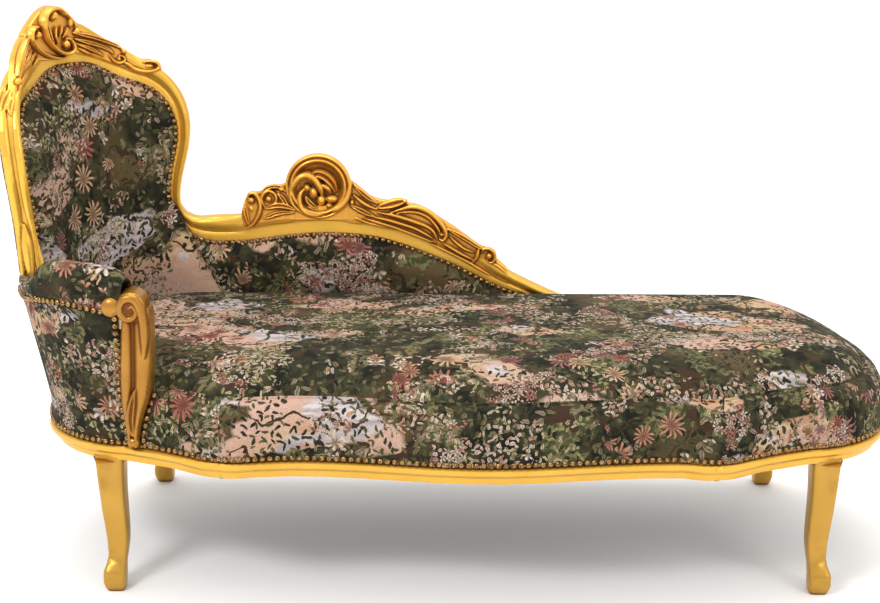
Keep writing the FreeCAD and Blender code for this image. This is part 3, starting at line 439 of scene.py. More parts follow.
seat_cloth = tapestry("tapestry_seat", (0.0, 0.0))
back_cloth = tapestry("tapestry_back", (2.3, 1.1))
side_cloth = tapestry("tapestry_side", (4.9, 3.2))
pad_cloth = tapestry("tapestry_pad", (7.4, 2.35))

# Seat: foam over webbing on the rails, covered by one top cloth that is sewn to an upright border;
# the border is nailed along the rail. The plan has a serpentine front and full rounded ends.
seat_end_x = 840
seat_rear_y = 300
tip_radius = 410
tip_centre_x = seat_end_x - tip_radius
tip_angle = 18


def towards(degrees):
    return Vector((math.cos(math.radians(degrees)), math.sin(math.radians(degrees))))


def tip_point(degrees, inset):
    return Vector((tip_centre_x, 0)) + towards(degrees) * (tip_radius - inset)


knee = Vector((644, -271))
tip_front = tip_point(-tip_angle, 0)
front_radius = (tip_front - knee).length_squared / (2 * towards(-tip_angle).dot(tip_front - knee))
front_centre = tip_front - towards(-tip_angle) * front_radius
rear_radius = (seat_rear_y + tip_front.y) / (1 - math.sin(math.radians(tip_angle)))
rear_centre = tip_point(tip_angle, 0) - towards(tip_angle) * rear_radius
knee_turn = math.degrees(math.atan2(knee.y - front_centre.y, knee.x - front_centre.x))


def swung(centre, radius, first, last, count):
    """Points along an arc, without its last one."""
    return [centre + towards(first + (last - first) * n / count) * radius for n in range(count)]


def arc_through(a, b, c, count):
    """Points along the arc through three points, without its last one."""
    across = (b - a).cross(c - a) * 2
    la, lb, lc = a.length_squared, b.length_squared, c.length_squared
    centre = Vector(((la * (b.y - c.y) + lb * (c.y - a.y) + lc * (a.y - b.y)) / across,
                     (la * (c.x - b.x) + lb * (a.x - c.x) + lc * (b.x - a.x)) / across))
    first = math.degrees(math.atan2(a.y - centre.y, a.x - centre.x))
    last = math.degrees(math.atan2(c.y - centre.y, c.x - centre.x))
    last -= 360 * round((last - first) / 360)
    return swung(centre, (a - centre).length, first, last, count)


def seat_line(inset, fullness=0.0):
    """The seat's outline as a closed run of points, drawn in by inset."""
    elbow = Vector((elbow_x - 0.08 * inset, 1.08 * inset - 364))
    bow = ((-elbow.x, elbow.y), (-315, inset - 342), (35, inset - 377), (385, inset - 342),
           (elbow.x, elbow.y))
    slopes = [0.0] * 5
    slopes[0] = 1.5 * (bow[1][1] - bow[0][1]) / (bow[1][0] - bow[0][0])
    slopes[4] = 1.5 * (bow[4][1] - bow[3][1]) / (bow[4][0] - bow[3][0])
    points = []
    for place, count in enumerate((8, 20, 20, 5)):
        (x0, y0), (x1, y1) = bow[place], bow[place + 1]
        wide = x1 - x0
        for n in range(count):
            t = n / count
            y = y0 + (y1 - y0) * t * t * (3 - 2 * t)
            y += wide * (slopes[place] * t * (1 - t) ** 2 - slopes[place + 1] * t * t * (1 - t))
            points.append(Vector((x0 + wide * t, y)))
    knee_end = front_centre + towards(knee_turn) * (front_radius - inset)
    half = arc_through(elbow, Vector((560 - 0.4 * inset, 0.92 * inset - 305)), knee_end, 6)
    half += swung(front_centre, front_radius - inset, knee_turn, -tip_angle, 16)
    half += swung(Vector((tip_centre_x, 0)), tip_radius - inset, -tip_angle, tip_angle, 8)
    half += swung(rear_centre, rear_radius - inset, tip_angle, 90, 16)
    rear_start = rear_centre + Vector((0, rear_radius - inset))
    rear = [Vector((rear_start.x * (1 - n / 14), rear_start.y)) for n in range(15)]
    right_half = half + rear
    left_half = [Vector((-p.x, p.y)) for p in reversed(half + rear[:-1])]
    points += right_half + left_half
    points.pop()
    for point in points:
        if point.y > 0:
            point.y += point.y * fullness * inset / (seat_rear_y - inset)
        else:
            point.y += elbow_ease(point.x)
    return points


def in_frame(x, y, z):
    """A place in millimetres from the seat's middle, in the frame's metres."""
    return Vector((x, y, z)) / 1000 + seat_middle


def cloth_mesh(name, rows, cloth_rows, closed):
    """A mesh over rows of points, with a UV map of cloth; closed rows run right round."""
    mesh = bpy.data.meshes.new(name)
    count = len(rows[0])
    faces = []
    for row in range(len(rows) - 1):
        for place in range(count if closed else count - 1):
            after = (place + 1) % count
            faces.append((row * count + place, row * count + after,
                          (row + 1) * count + after, (row + 1) * count + place))
    mesh.from_pydata([in_frame(*point) for row in rows for point in row], [], faces)
    layer = mesh.uv_layers.new(name="cloth")
    for face in mesh.polygons:
        row, place = divmod(face.index, count if closed else count - 1)
        low, high = cloth_rows[row]
        spots = (low[place], low[place + 1], high[place + 1], high[place])
        for corner, (u, v) in zip(face.loop_indices, spots):
            layer.data[corner].uv = (u / 1000, v / 1000)
    return mesh


cloth_gap = 0.00005


def close_seams(mesh, fill=False):
    """Join the points that meet, so that the cloth is one closed form; fill closes its open ends too."""
    with edited(mesh) as shape:
        bmesh.ops.remove_doubles(shape, verts=shape.verts, dist=cloth_gap)
        if fill:
            bmesh.ops.holes_fill(shape, edges=[edge for edge in shape.edges if edge.is_boundary], sides=0)
            bmesh.ops.recalc_face_normals(shape, faces=shape.faces)


def woven_mesh(name, rows):
    """A mesh over rows of pairs: a point, and its place on the flat cloth."""
    points = [[spot for spot, flat in row] for row in rows]
    places = [[flat for spot, flat in row] for row in rows]
    return cloth_mesh(name, points, list(zip(places, places[1:])), False)


cloth_crease = 60


def tight_cloth(name, rows, finish, depth, turned=False):
    """A piece of cloth over such rows, with its padding's depth behind its face and closed edges."""
    mesh = woven_mesh(name, rows)
    if turned:
        mesh.flip_normals()
    with edited(mesh) as shape:
        bmesh.ops.solidify(shape, geom=shape.faces[:], thickness=depth / 1000)
    sharpen(mesh, cloth_crease)
    return piece_object(name, mesh, finish)


crease_height = 408
crease_inset = 47
seat_height = 455
crown_inset = 130
seat_profile = [(2.4, 301), (2.4, 318), (2.4, 334), (3.6, 352), (8.5, 372), (17, 388), (29, 399.5), (40, 405),
                (45.4, 405.6), (46, 408.4), (48, 410.2), (50, 409)]
border_rows = len(seat_profile) - 1
for share in (0.1, 0.18, 0.28, 0.42, 0.58, 0.78, 1.0):
    rise = (seat_height - crease_height) * math.sin(math.radians(90 * share)) ** 0.8
    seat_profile.append((crease_inset + crown_inset * share, crease_height + rise))

# The arm post's height, left and right edge from its middle line, and the depth of its two faces
post_x = -611
post_stations = ((306, -25, -3, 291, 262), (320, -25, -3, 291, 258), (348, -29, 2, 291, 252),
                 (376, -32, 10, 291, 247), (400, -33, 18, 291, 246), (450, -33, 25, 290, 244),
                 (555, -30, 28, 288, 244), (575, -30, 19, 288, 244))


def post_edges(z):
    """X of the arm post's left and right edges at a height."""
    heights, lefts, rights = list(zip(*post_stations))[:3]
    return [post_x + float(numpy.interp(z, heights, edge)) for edge in (lefts, rights)]


low_back_end = 520


def held(value):
    """A value kept from 0 to 1."""
    return min(1.0, max(0.0, value))


def behind_the_backs(point, z):
    """1 where the backs or the arm stand on the rails, so that the seat ends in front of them."""
    if point.y > 0:
        return held((low_back_end - point.x) / 58)
    return held((post_edges(z)[1] - 4 - point.x) / 8)


back_clearance = 47
side_fullness = 0.7
plain_line = seat_line(0)
tight_line = seat_line(back_clearance, side_fullness)
seat_rows = []
for inset, z in seat_profile:
    row = []
    for place, point in enumerate(seat_line(inset, side_fullness)):
        if inset < back_clearance:
            point = point.lerp(tight_line[place], behind_the_backs(plain_line[place], z))
        row.append((point.x, point.y, z))
    seat_rows.append(row)
full_row = seat_rows[-1]
for narrow in (0.7, 0.4, 0.15, 0.0):
    seat_rows.append([(x, y * narrow, seat_height) for x, y, z in full_row])
border_run = [0.0]
for first, second in zip(plain_line, plain_line[1:] + plain_line[:1]):
    border_run.append(border_run[-1] + (second - first).length)
front_middle = border_run[28]
climbed = [0.0]
for (i0, z0), (i1, z1) in zip(seat_profile, seat_profile[1:]):
    climbed.append(climbed[-1] + math.hypot(i1 - i0, z1 - z0))
cloth_rows = []
for row in range(len(seat_rows) - 1):
    if row < border_rows:
        cloth_rows.append([[(s - front_middle, climbed[n]) for s in border_run] for n in (row, row + 1)])
    else:
        laid = [[(x, y + 500) for x, y, z in seat_rows[n]] for n in (row, row + 1)]
        cloth_rows.append([run + run[:1] for run in laid])
seat_mesh = cloth_mesh("seat", seat_rows, cloth_rows, True)
close_seams(seat_mesh)
sharpen(seat_mesh, cloth_crease)
seat = piece_object("seat_upholstery", seat_mesh, seat_cloth)
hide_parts("seat_cover_border", "seat_cover_top", "seat_foam")

# Tall back: foam over webbing inside the wrapped frame, under one tight cloth that is nailed along
# the frame's inner edge. Its face lies on an upright cylinder about the head end's middle.
back_centre = 587
back_middle = 37
face_radius = 286
back_bend = 21
lean_top = 850
lean_run = 290
upright_foot = lean_top - lean_run
rail_top = 345
straight_angle = 90 - back_middle
face_line = seat_line(34)
plan_radii = {}


def lean(z):
    return back_bend * held((lean_top - z) / lean_run)


def plan_radius(angle):
    """From the tall back's centre to the line on the seat frame where its face starts."""
    if angle not in plan_radii:
        turn = math.radians(back_middle + angle)
        way = Vector((-math.cos(turn), math.sin(turn)))
        reaches = []
        for first, second in zip(face_line, face_line[1:] + face_line[:1]):
            side = second - first
            from_centre = first + Vector((back_centre, 0))
            spin = way.cross(side)
            if abs(spin) > 1e-9:
                reach = from_centre.cross(side) / spin
                share = from_centre.cross(way) / spin
                if reach > 0 and -1e-6 <= share <= 1 + 1e-6:
                    reaches.append(reach)
        plan_radii[angle] = min(reaches)
    return plan_radii[angle]


def radius_at(angle, z):
    if z >= upright_foot:
        return face_radius - lean(z)
    share = min(1, (upright_foot - z) / (upright_foot - rail_top))
    return (1 - share) * (face_radius - back_bend) + share * plan_radius(angle)


def back_point(angle, z, out=0.0):
    """A point on the tall back: angle 0 is its middle, out is measured outwards from its face."""
    curved = min(angle, straight_angle)
    radius = radius_at(curved, z) + out
    turn = math.radians(back_middle + curved)
    run_on = (face_radius - back_bend) * math.radians(angle - curved)
    return Vector((run_on - back_centre - radius * math.cos(turn), radius * math.sin(turn), z))


def refine(stations, steps):
    """Smooth in-between stations."""
    last = len(stations) - 1
    finer = []
    for place in range(last):
        near = [stations[min(max(place + k, 0), last)] for k in (-1, 0, 1, 2)]
        for step in range(steps):
            t = step / steps
            finer.append(tuple(
                b + 0.5 * ((c - a) * t + (2 * a - 5 * b + 4 * c - d) * t * t
                           + (3 * b - a - 3 * c + d) * t ** 3)
                for a, b, c, d in zip(*near)))
    finer.append(tuple(stations[-1]))
    return finer


# The nail line as angle from the middle and height, and along the low back as X and height
seam_top = 654
cushion_foot = 352
back_nails = ((0, 962), (7, 960), (14, 950), (21, 930), (27, 917), (33, 907), (38.5, 889), (42.5, 868),
              (45.2, 840), (46.5, 812), (46.1, 776), (43.9, 731), (42.4, 686), (42.4, seam_top))
front_nails = back_nails + ((42.6, 620), (43.2, 585), (43.4, 552))
rear_nails = back_nails + ((43.2, 634), (45.6, 609))
low_nails = ((-598, 585), (-579, 576), (-547, 567), (-470, 569), (-383, 581), (-296, 586), (-209, 580),
             (-143, 564), (-78, 540), (-12, 511), (54, 477), (120, 450), (200, 412), (300, 372), (390, 338),
             (455, 318))
seam_line = ((42.4, seam_top), (48.4, 594), (53, 552), (64, 455), (74.4, cushion_foot))
front_line = [(-a, z) for a, z in refine(front_nails, 4)]
rear_line = refine(back_nails, 4)
arc_scale = math.radians(1) * (face_radius - back_bend / 2)


def looked_up(line, z):
    """The line's first value where its height is z; the line runs downwards."""
    values, heights = zip(*line[::-1])
    return float(numpy.interp(z, heights, values))


far_off = 1e9


def gap_to(line, u, z):
    """Distance on the unrolled cloth from a point to a line."""
    best = far_off
    spot = Vector((u, z))
    for first, second in zip(line, line[1:]):
        side = Vector(second) - Vector(first)
        away = spot - Vector(first)
        share = held(away.dot(side) / max(side.length_squared, 1e-9))
        best = min(best, (away - side * share).length)
    return best


def padding(edge_gap, seam_gap, crown, ease):
    """How far padded cloth stands out, by its distance from the nails and from a seam."""
    free_gap = max(0.0, edge_gap - 7)
    drawn_in = 1.5 + 9.5 * (1 - math.exp(-free_gap / 7))
    fall = min(1, min(free_gap, seam_gap) / ease)
    return drawn_in + crown * (1 - (1 - fall) ** 2.4)


def in_cloth(line):
    return [(a * arc_scale, z) for a, z in line]


nailed = in_cloth(front_line)[::-1] + in_cloth(rear_line)
seam_cloth = in_cloth(seam_line)
upper_heights = [625 + 13.5 * n for n in range(23)]
heights = [cushion_foot, 400, 440, 470, 500, 530, 560, 585, 610] + upper_heights
heights += [930, 938, 945, 951, 956, 960]
across = 44
back_rows = []
for z in heights:
    left = looked_up(front_line, z)
    right_edge = looked_up(rear_line, z) if z > seam_top else looked_up(seam_line, z) + 0.8
    low_fade = held((z - 430) / 120)
    crown = 27 * low_fade * low_fade * (3 - 2 * low_fade)
    row = []
    for n in range(across + 1):
        t = 0.35 * n / across + 0.325 * (1 - math.cos(math.pi * n / across))
        angle = left + (right_edge - left) * t
        u = angle * arc_scale
        out = -padding(gap_to(nailed, u, z), gap_to(seam_cloth, u, z), crown, 95)
        row.append((back_point(angle, z, out), (u, z)))
    back_rows.append(row[::-1])
back = tight_cloth("back_upholstery", back_rows, back_cloth, 5, turned=True)
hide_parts("back_cover_inner", "back_foam")

# Low back: the same padding and cloth along the rear, joined to the tall back's in a slanting
# seam and nailed under its moulded rail.
low_line = refine(low_nails, 4)
low_start = -600
low_step = 12.6
seam_shift = 116
seam_reach = 300


def low_nail_height(x):
    return float(numpy.interp(x, *zip(*low_line)))


def low_point(x, z, out=0.0):
    return Vector((x, face_radius - lean(z) + out, z))


low_rows = []
levels = 18
for n in range(74):
    top_x = low_step * n + low_start
    foot_x = top_x + seam_shift * max(0, 1 - low_step * n / seam_reach)
    top_z = low_nail_height(top_x) - 0.5
    row = []
    for level in range(levels + 1):
        share = 1 - (1 - level / levels) ** 1.6
        z = cushion_foot + (top_z - cushion_foot) * share
        x = foot_x + (top_x - foot_x) * share
        fade = held((z - 440) / 60) * held((top_z - 455) / 60)
        out = -padding(gap_to(low_line, x, z), low_step * n if n < 12 else far_off, 17 * fade, 55)
        row.append((low_point(x, z, out), (x, z)))
    low_rows.append(row[::-1])
low_back = tight_cloth("low_back_upholstery", low_rows, side_cloth, 5)
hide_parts("low_back_cover_inner", "low_back_foam")

# Arm: padding and cloth on its inner face, and a fat rolled pad that runs from the back's stile
# round to the scrolled post.
post_angle = -48.6
stile_angle = -43.7
arm_front = -119
arm_line = 570
arm_form = ((cushion_foot, 0), (440, 0), (462, 0.25), (480, 0.7), (500, 1), (520, 1), (540, 0.9), (558, 0.6),
            (568, 0.2))
arm_rows = []
for n in range(25):
    angle = arm_front + (stile_angle - arm_front) * n / 24
    ends = 1 - (1 - min(1, min(n, 24 - n) / 3)) ** 2
    arm_rows.append([(back_point(angle, z, -6 - 14 * full * ends), (angle * arc_scale, z))
                     for z, full in arm_form])
arm_inside = tight_cloth("arm_inside_upholstery", arm_rows, back_cloth, 4, turned=True)
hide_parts("arm_cover_inner")

pad_width = 62
arm_depth = 34
pad_top = 648
pad_form = ((0, 0.04), (0.1, 0.05), (0.27, 0.08), (0.34, 0.5), (0.42, 0.82), (0.58, 0.96), (0.78, 1),
            (0.93, 0.94), (1, 0.7))
pad_rows = []
for share, full in refine(pad_form, 4):
    angle = post_angle + (arm_front + 1 - post_angle) * share
    outer = radius_at(angle, arm_line) + arm_depth
    turn = math.radians(back_middle + angle)
    way = Vector((-math.cos(turn), math.sin(turn), 0))
    middle = Vector((-back_centre, 0, arm_line + 0.4)) + way * (outer - pad_width / 2)
    rise = (pad_top - arm_line) * full
    row = []
    around = 0.0
    for step in range(25):
        swing = math.radians(180 * step / 24)
        spot = middle + way * (pad_width / 2 * math.cos(swing))
        spot += Vector((0, 0, rise * math.sin(swing) ** 0.72))
        if row:
            around += (spot - row[-1][0]).length
        row.append((spot, (angle * arc_scale, around)))
    pad_rows.append(row)


def finished_mesh(holder):
    """An object's mesh with its modifiers done; the object is removed."""
    mesh = bpy.data.meshes.new_from_object(holder.evaluated_get(bpy.context.evaluated_depsgraph_get()))
    bpy.data.objects.remove(holder)
    return mesh


def settle(mesh, nailed_height, most):
    """Let a padded cloth swell over its filling above the nails, by most millimetres at the most."""
    tight = mesh.copy()
    holder = in_scene("settling", tight)
    nails_hold = holder.vertex_groups.new(name="nailed")
    nails_hold.add([v.index for v in tight.vertices if v.co.z < nailed_height / 1000], 1.0, "REPLACE")
    filling = holder.modifiers.new("filling", "CLOTH").settings
    filling.use_pressure = True
    filling.uniform_pressure_force = 12
    filling.mass = 0.08
    filling.effector_weights.gravity = 0
    filling.vertex_group_mass = "nailed"
    for frame_number in range(1, 21):
        bpy.context.scene.frame_set(frame_number)
    settled = finished_mesh(holder)
    for vertex, full in zip(mesh.vertices, settled.vertices):
        move = full.co - vertex.co
        vertex.co += move * min(1.0, most / 1000 / max(move.length, 1e-9))
    for spare in (tight, settled):
        bpy.data.meshes.remove(spare)
    bpy.context.scene.frame_set(1)


pad_mesh = woven_mesh("arm_pad", pad_rows)
close_seams(pad_mesh, fill=True)
settle(pad_mesh, arm_line + 7, 6)
sharpen(pad_mesh, cloth_crease)
arm_pad = piece_object("arm_pad_upholstery", pad_mesh, pad_cloth)
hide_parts("arm_pad")

# Outside cloths: one round the head end and the arm, one over the tall back's rear and one along
# the low back, all pulled flat over the frame and nailed.
outside_depth = 2
rear_depth = 36
low_depth = 33.2
head_form = ((301, 31.6), (320, 31.6), (rail_top, 31.6), (372, 32), (400, 32.4), (450, 33.4), (500, 34.5),
             (540, 35.2), (arm_line, 35.6))


def angle_at(x, z, out):
    """Angle of the point on the outside cloth of the arm that lies at X."""
    radius = radius_at(arm_front, z) + out
    return -math.degrees(math.acos((-back_centre - x) / radius)) - back_middle


out_rows = []
for n in range(71):
    row = []
    for z, out in head_form:
        first = angle_at(post_edges(z)[0] + 1, z, out)
        angle = first + (straight_angle - first) * n / 70
        row.append((back_point(angle, z, out), (angle * arc_scale, z)))
    out_rows.append(row)
head_outside = tight_cloth("head_outside_cloth", out_rows, back_cloth, outside_depth)
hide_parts("head_cover_outer")

rear_rows = []
edge_lap = 1.2
for z in [573, 590, 610] + upper_heights + [930, 940, 950, 956, 960]:
    left = looked_up(front_line, z) - edge_lap
    right_edge = looked_up(rear_line, z) + edge_lap
    angles = [left + (right_edge - left) * n / 30 for n in range(31)]
    rear_rows.append([(back_point(angle, z, rear_depth), (-angle * arc_scale, z)) for angle in angles])
back_outside = tight_cloth("back_outside_cloth", rear_rows, side_cloth, outside_depth, turned=True)
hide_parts("back_cover_outer")

along_rows = []
along_step = 19.8
for n in range(53):
    x = along_step * n - 578
    on_rail = [Vector((x, y, z)) for z, y in ((301, 294.6), (rail_top, 298.2))]
    on_back = [low_point(x, z, low_depth) for z in (347, max(low_nail_height(x) + 14, 348))]
    along_rows.append([(spot, (-x, spot.z)) for spot in on_rail + on_back][::-1])
low_outside = tight_cloth("low_back_outside_cloth", along_rows, side_cloth, outside_depth, turned=True)
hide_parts("low_back_cover_outer")

# Carvings: leaves, reeds, scrolls and beads cut in relief from solid beech, glued on the frame,
# then gessoed, gilded and washed brown. Each is built of overlapping strands on a low ground.


def mirrored(half):
    """A strand's whole section, from its middle and one side."""
    return [(-share, high) for share, high in half[:0:-1]] + list(half)


carving_back = 15
round_form = mirrored(((0, 1), (0.3, 0.96), (0.66, 0.8), (0.92, 0.42), (1, 0)))
leaf_form = mirrored(((0, 0.38), (0.3, 0.76), (0.62, 1), (0.9, 0.62), (1, 0)))
ground_form = ((0, 0.3), (0.12, 0.5), (0.5, 0.55), (0.85, 0.5), (1, 0))


def add_loft(shape, sections):
    """Add the solid that runs through a row of sections; each is a ring of points in millimetres."""
    rings = [[shape.verts.new(in_frame(*spot)) for spot in section] for section in sections]
    count = len(rings[0])
    for near, far in zip(rings, rings[1:]):
        for n in range(count):
            after = (n + 1) % count
            shape.faces.new((near[n], near[after], far[after], far[n]))
    shape.faces.new(rings[0][::-1])
    shape.faces.new(rings[-1])


def add_ground(shape, place, stations):
    """The low body under a leaf; each station is a position, heights of root and edge, and relief."""
    sections = []
    for at, root, edge, relief in refine(stations, 3):
        section = [place(at, root + (edge - root) * share, -relief * rise) for share, rise in ground_form]
        sections.append(section + [place(at, edge, carving_back), place(at, root, carving_back)])
    add_loft(shape, sections)


def add_strand(shape, place, form, out, rise, stations):
    """A strand of the carving; each station is a position, a height and a half-width."""
    path = refine(stations, 4)
    widest = max(wide for at, z, wide in path)
    spots = [place(at, z, out) for at, z, wide in path]
    sections = []
    for n, (at, z, wide) in enumerate(path):
        ahead = spots[min(n + 1, len(spots) - 1)] - spots[max(n - 1, 0)]
        forward = (place(at, z, out - 1) - spots[n]).normalized()
        beside = forward.cross(ahead).normalized() * wide
        lift = forward * (rise * (wide / widest) ** 0.6)
        section = [spots[n] + beside * share + lift * high for share, high in form]
        sections.append(section + [spots[n] + beside * share - forward * 5 for share in (0.7, -0.7)])
    add_loft(shape, sections)


def add_bead(shape, place, at, z, out, wide, tall, rise):
    """A rounded bead or bud, half sunk in the ground."""
    middle = place(at, z, out)
    forward = (place(at, z, out - 1) - middle).normalized()
    beside = Vector((0, 0, 1)).cross(forward)
    axes = Matrix((beside * wide, Vector((0, 0, tall)), forward * rise)).transposed() * 0.001
    turned = Matrix.Translation(in_frame(*middle)) @ axes.to_4x4()
    bmesh.ops.create_icosphere(shape, subdivisions=3, radius=1, matrix=turned)


def keep_hollows(mesh, breadth):
    """Store how many millimetres each point lies below its surroundings; breadth is their size in steps."""
    count = len(mesh.vertices)
    spots = numpy.empty(count * 3)
    mesh.vertices.foreach_get("co", spots)
    spots = spots.reshape(-1, 3)
    outwards = numpy.empty(count * 3, dtype=numpy.float32)
    mesh.vertex_normals.foreach_get("vector", outwards)
    ends = numpy.empty(len(mesh.edges) * 2, dtype=numpy.int32)
    mesh.edges.foreach_get("vertices", ends)
    first, second = ends.reshape(-1, 2).T
    joins = numpy.bincount(ends, minlength=count)[:, None]
    spread_out = spots.copy()
    for turn in range(breadth):
        total = numpy.zeros_like(spots)
        numpy.add.at(total, first, spread_out[second])
        numpy.add.at(total, second, spread_out[first])
        spread_out = 0.5 * spread_out + 0.5 * total / joins
    depth = ((spread_out - spots) * outwards.reshape(-1, 3)).sum(1) * 1000
    layer = mesh.attributes.new("hollow", "FLOAT", "POINT")
    layer.data.foreach_set("value", depth.astype(numpy.float32))


def carve(name, place, strands, beads=(), nodes=(), grounds=(), body=None, grain=1.3, rounds=2, breadth=14,
          finish=carved_gilding):
    """Cut one carving from its lists, softened by its gesso, and put it in the place of its frame nodes."""
    shape = body if body else bmesh.new()
    for stations in grounds:
        add_ground(shape, place, stations)
    for strand in strands:
        add_strand(shape, place, *strand)
    for bead in beads:
        add_bead(shape, place, *bead)
    bmesh.ops.recalc_face_normals(shape, faces=shape.faces)
    rough = bpy.data.meshes.new(name)
    shape.to_mesh(rough)
    shape.free()
    holder = in_scene(name, rough)
    joint = holder.modifiers.new("joined", "REMESH")
    joint.mode = "VOXEL"
    joint.voxel_size = grain / 1000
    gesso = holder.modifiers.new("gesso", "SMOOTH")
    gesso.factor = 0.5
    gesso.iterations = rounds
    bpy.context.view_layer.update()
    mesh = finished_mesh(holder)
    mesh.shade_smooth()
    keep_hollows(mesh, breadth)
    piece = piece_object(name, mesh, finish)
    if nodes:
        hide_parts(*nodes)


# Crest: two hooked bands with balls, a fan of reeds between them, and leaves falling to both
# sides, carved as one block and glued on the top rail. Positions are angles from the back's middle.
crest_grounds = (
    ((-26, 985, 1030, 4), (-19, 975, 1054, 7), (-13, 972, 1072, 9), (-7, 972, 1078, 10), (-1, 975, 1064, 8),
     (5, 980, 1042, 6)),
    ((4, 976, 1038, 8), (8, 972, 1028, 11), (13, 964, 1013, 12), (19, 952, 998, 12), (23, 944, 988, 10),
     (27, 938, 972, 9), (31, 930, 958, 8), (37, 922, 955, 7), (41, 912, 940, 4)),
    ((-42.5, 914, 924, 1), (-41, 924, 944, 4), (-38.5, 936, 970, 7), (-36, 942, 990, 9), (-33, 946, 1003, 10),
     (-29, 953, 1018, 11), (-24, 962, 1032, 10)),
)
crest_strands = (
    (round_form, -7, 15, ((-2.1, 1058, 2.5), (-3.9, 1068, 4), (-6.9, 1073, 4.8), (-10.5, 1072, 5.5),
     (-13.6, 1065, 6.5), (-15.5, 1055, 7), (-16, 1043, 6.6), (-14.9, 1030, 5.6), (-13.6, 1017, 4.8),
     (-11.7, 1006, 4.3), (-8.8, 994, 4.3), (-5.1, 984, 4.5), (-1.4, 981, 4.5), (1.2, 986, 4.4), (1.5, 997, 4),
     (-0.4, 1009, 3.4), (-2.9, 1012, 2.2))),
    (round_form, -5, 12, ((-17.9, 1041, 2), (-21.1, 1041, 4), (-23.9, 1036, 5), (-25, 1027, 5),
     (-24.3, 1016, 4.6), (-22.1, 1006, 4.2), (-19, 996, 4), (-15.4, 987, 3.6), (-11.2, 979, 3.2),
     (-6.8, 974, 2.8), (-2.3, 973, 1.5))),
    (round_form, -5, 9, ((-5, 1074, 2.5), (-2.3, 1065, 3.5), (0, 1055, 3.6), (1.8, 1046, 3.6),
     (3.3, 1034, 2))),
    (round_form, -6, 10, ((-11.9, 1037, 2), (-11.8, 1026, 3.6), (-10.7, 1013, 3.2), (-8.9, 1003, 1.3))),
    (round_form, -6, 10, ((-7.6, 1036, 2), (-8.6, 1024, 3.6), (-8.2, 1014, 3.2), (-7.1, 1002, 1.3))),
    (round_form, -6, 9, ((-4.4, 1036, 2), (-5.2, 1026, 3.2), (-6.2, 1015, 1.3))),
    (round_form, -6, 9, ((-1, 1033, 2), (-2.6, 1023, 3.4), (-4.2, 1013, 1.3))),
    (leaf_form, -4, 9, ((-24.5, 1023, 1.5), (-28, 1018, 4.2), (-32, 1006, 5), (-35.6, 992, 4.6),
     (-38.4, 976, 3.4), (-40.5, 958, 1))),
    (leaf_form, -4, 10, ((-26, 1010, 1.5), (-30.4, 1001, 4.2), (-34.6, 985, 4.8), (-38, 968, 4),
     (-40.5, 946, 1.2))),
    (leaf_form, -4, 9, ((-24.6, 998, 1.4), (-27.5, 990, 3.9), (-30.2, 981, 4.3), (-34.9, 970, 3.6),
     (-39.5, 958, 1))),
    (leaf_form, -3, 8, ((-21.4, 993, 1.3), (-23.8, 986, 3.4), (-26.2, 977, 3.4), (-30.1, 966, 1))),
    (leaf_form, -3, 7, ((-19.2, 985, 1.2), (-20.8, 977, 2.8), (-23.4, 968, 1))),
    (leaf_form, -4, 10, ((1.7, 1021, 1.5), (7, 1015, 4.4), (12.2, 1008, 4.8), (17.2, 999, 4.4),
     (22, 989, 3.6), (24.6, 980, 1.3))),
    (leaf_form, -4, 10, ((2.3, 1009, 1.4), (7.7, 1001, 4.4), (12.9, 993, 4.4), (17.8, 983, 3.8),
     (21, 971, 1.2))),
    (leaf_form, -4, 9, ((3.1, 999, 1.3), (8.4, 989, 4), (12.7, 979, 3.8), (16.2, 968, 1))),
    (leaf_form, -3, 8, ((4, 990, 1.2), (7.4, 981, 3.2), (11, 972, 1))),
    (round_form, -4, 9, ((18.6, 970, 1.5), (20.4, 958, 3.2), (22.9, 952, 3.4), (25.2, 957, 3.2),
     (24.8, 965, 2.6), (23, 968, 1.5))),
    (round_form, -4, 10, ((23.5, 956, 2), (26.8, 948, 4), (29.2, 939, 4.4), (32.7, 933, 4.4),
     (36.2, 932, 4.4), (39, 936, 4.2), (40, 943, 4), (38.8, 950, 3.6), (36, 953, 3), (32.8, 951, 1.6))),
    (round_form, -2, 7, ((-28, 962, 1.2), (-34, 949, 3.2), (-39, 935, 3.4), (-42, 918, 1.2))),
)
crest_beads = (
    (-8.7, 1059, -9, 10, 10, 11), (-19.3, 1026, -7, 7.5, 7.5, 10), (-2.6, 1000, -9, 8.5, 8.5, 11),
    (0.7, 1041, -5, 6, 10, 9), (3.9, 1023, -5, 7, 8, 9), (25.2, 976, -5, 6, 6, 9), (22.7, 961, -5, 4.5, 5, 9),
    (35.6, 943, -4, 11, 5.5, 8), (-41, 948, -5, 6, 7, 8),
)
carve("crest_scrollwork", back_point, crest_strands, crest_beads, ["crest_carving"], crest_grounds)

# Front stile: two round mouldings along its edge that end in a long drop above the arm, carved in
# one with the stile and gilded with it. Positions are millimetres behind the back's face.
stile_edge = ((552, 48.6), (583, 48.2), (618, 47.4), (652, 46.8), (683, 47.1), (725, 49), (771, 51.3),
              (817, 52), (861, 50.5), (895, 47.5), (924, 43), (946, 37))


def stile_place(behind, z, out):
    """A place on the front stile's edge, at a height; out is measured in from the edge."""
    angle = float(numpy.interp(z, *zip(*stile_edge)))
    return back_point(out / arc_scale - angle, z, behind)


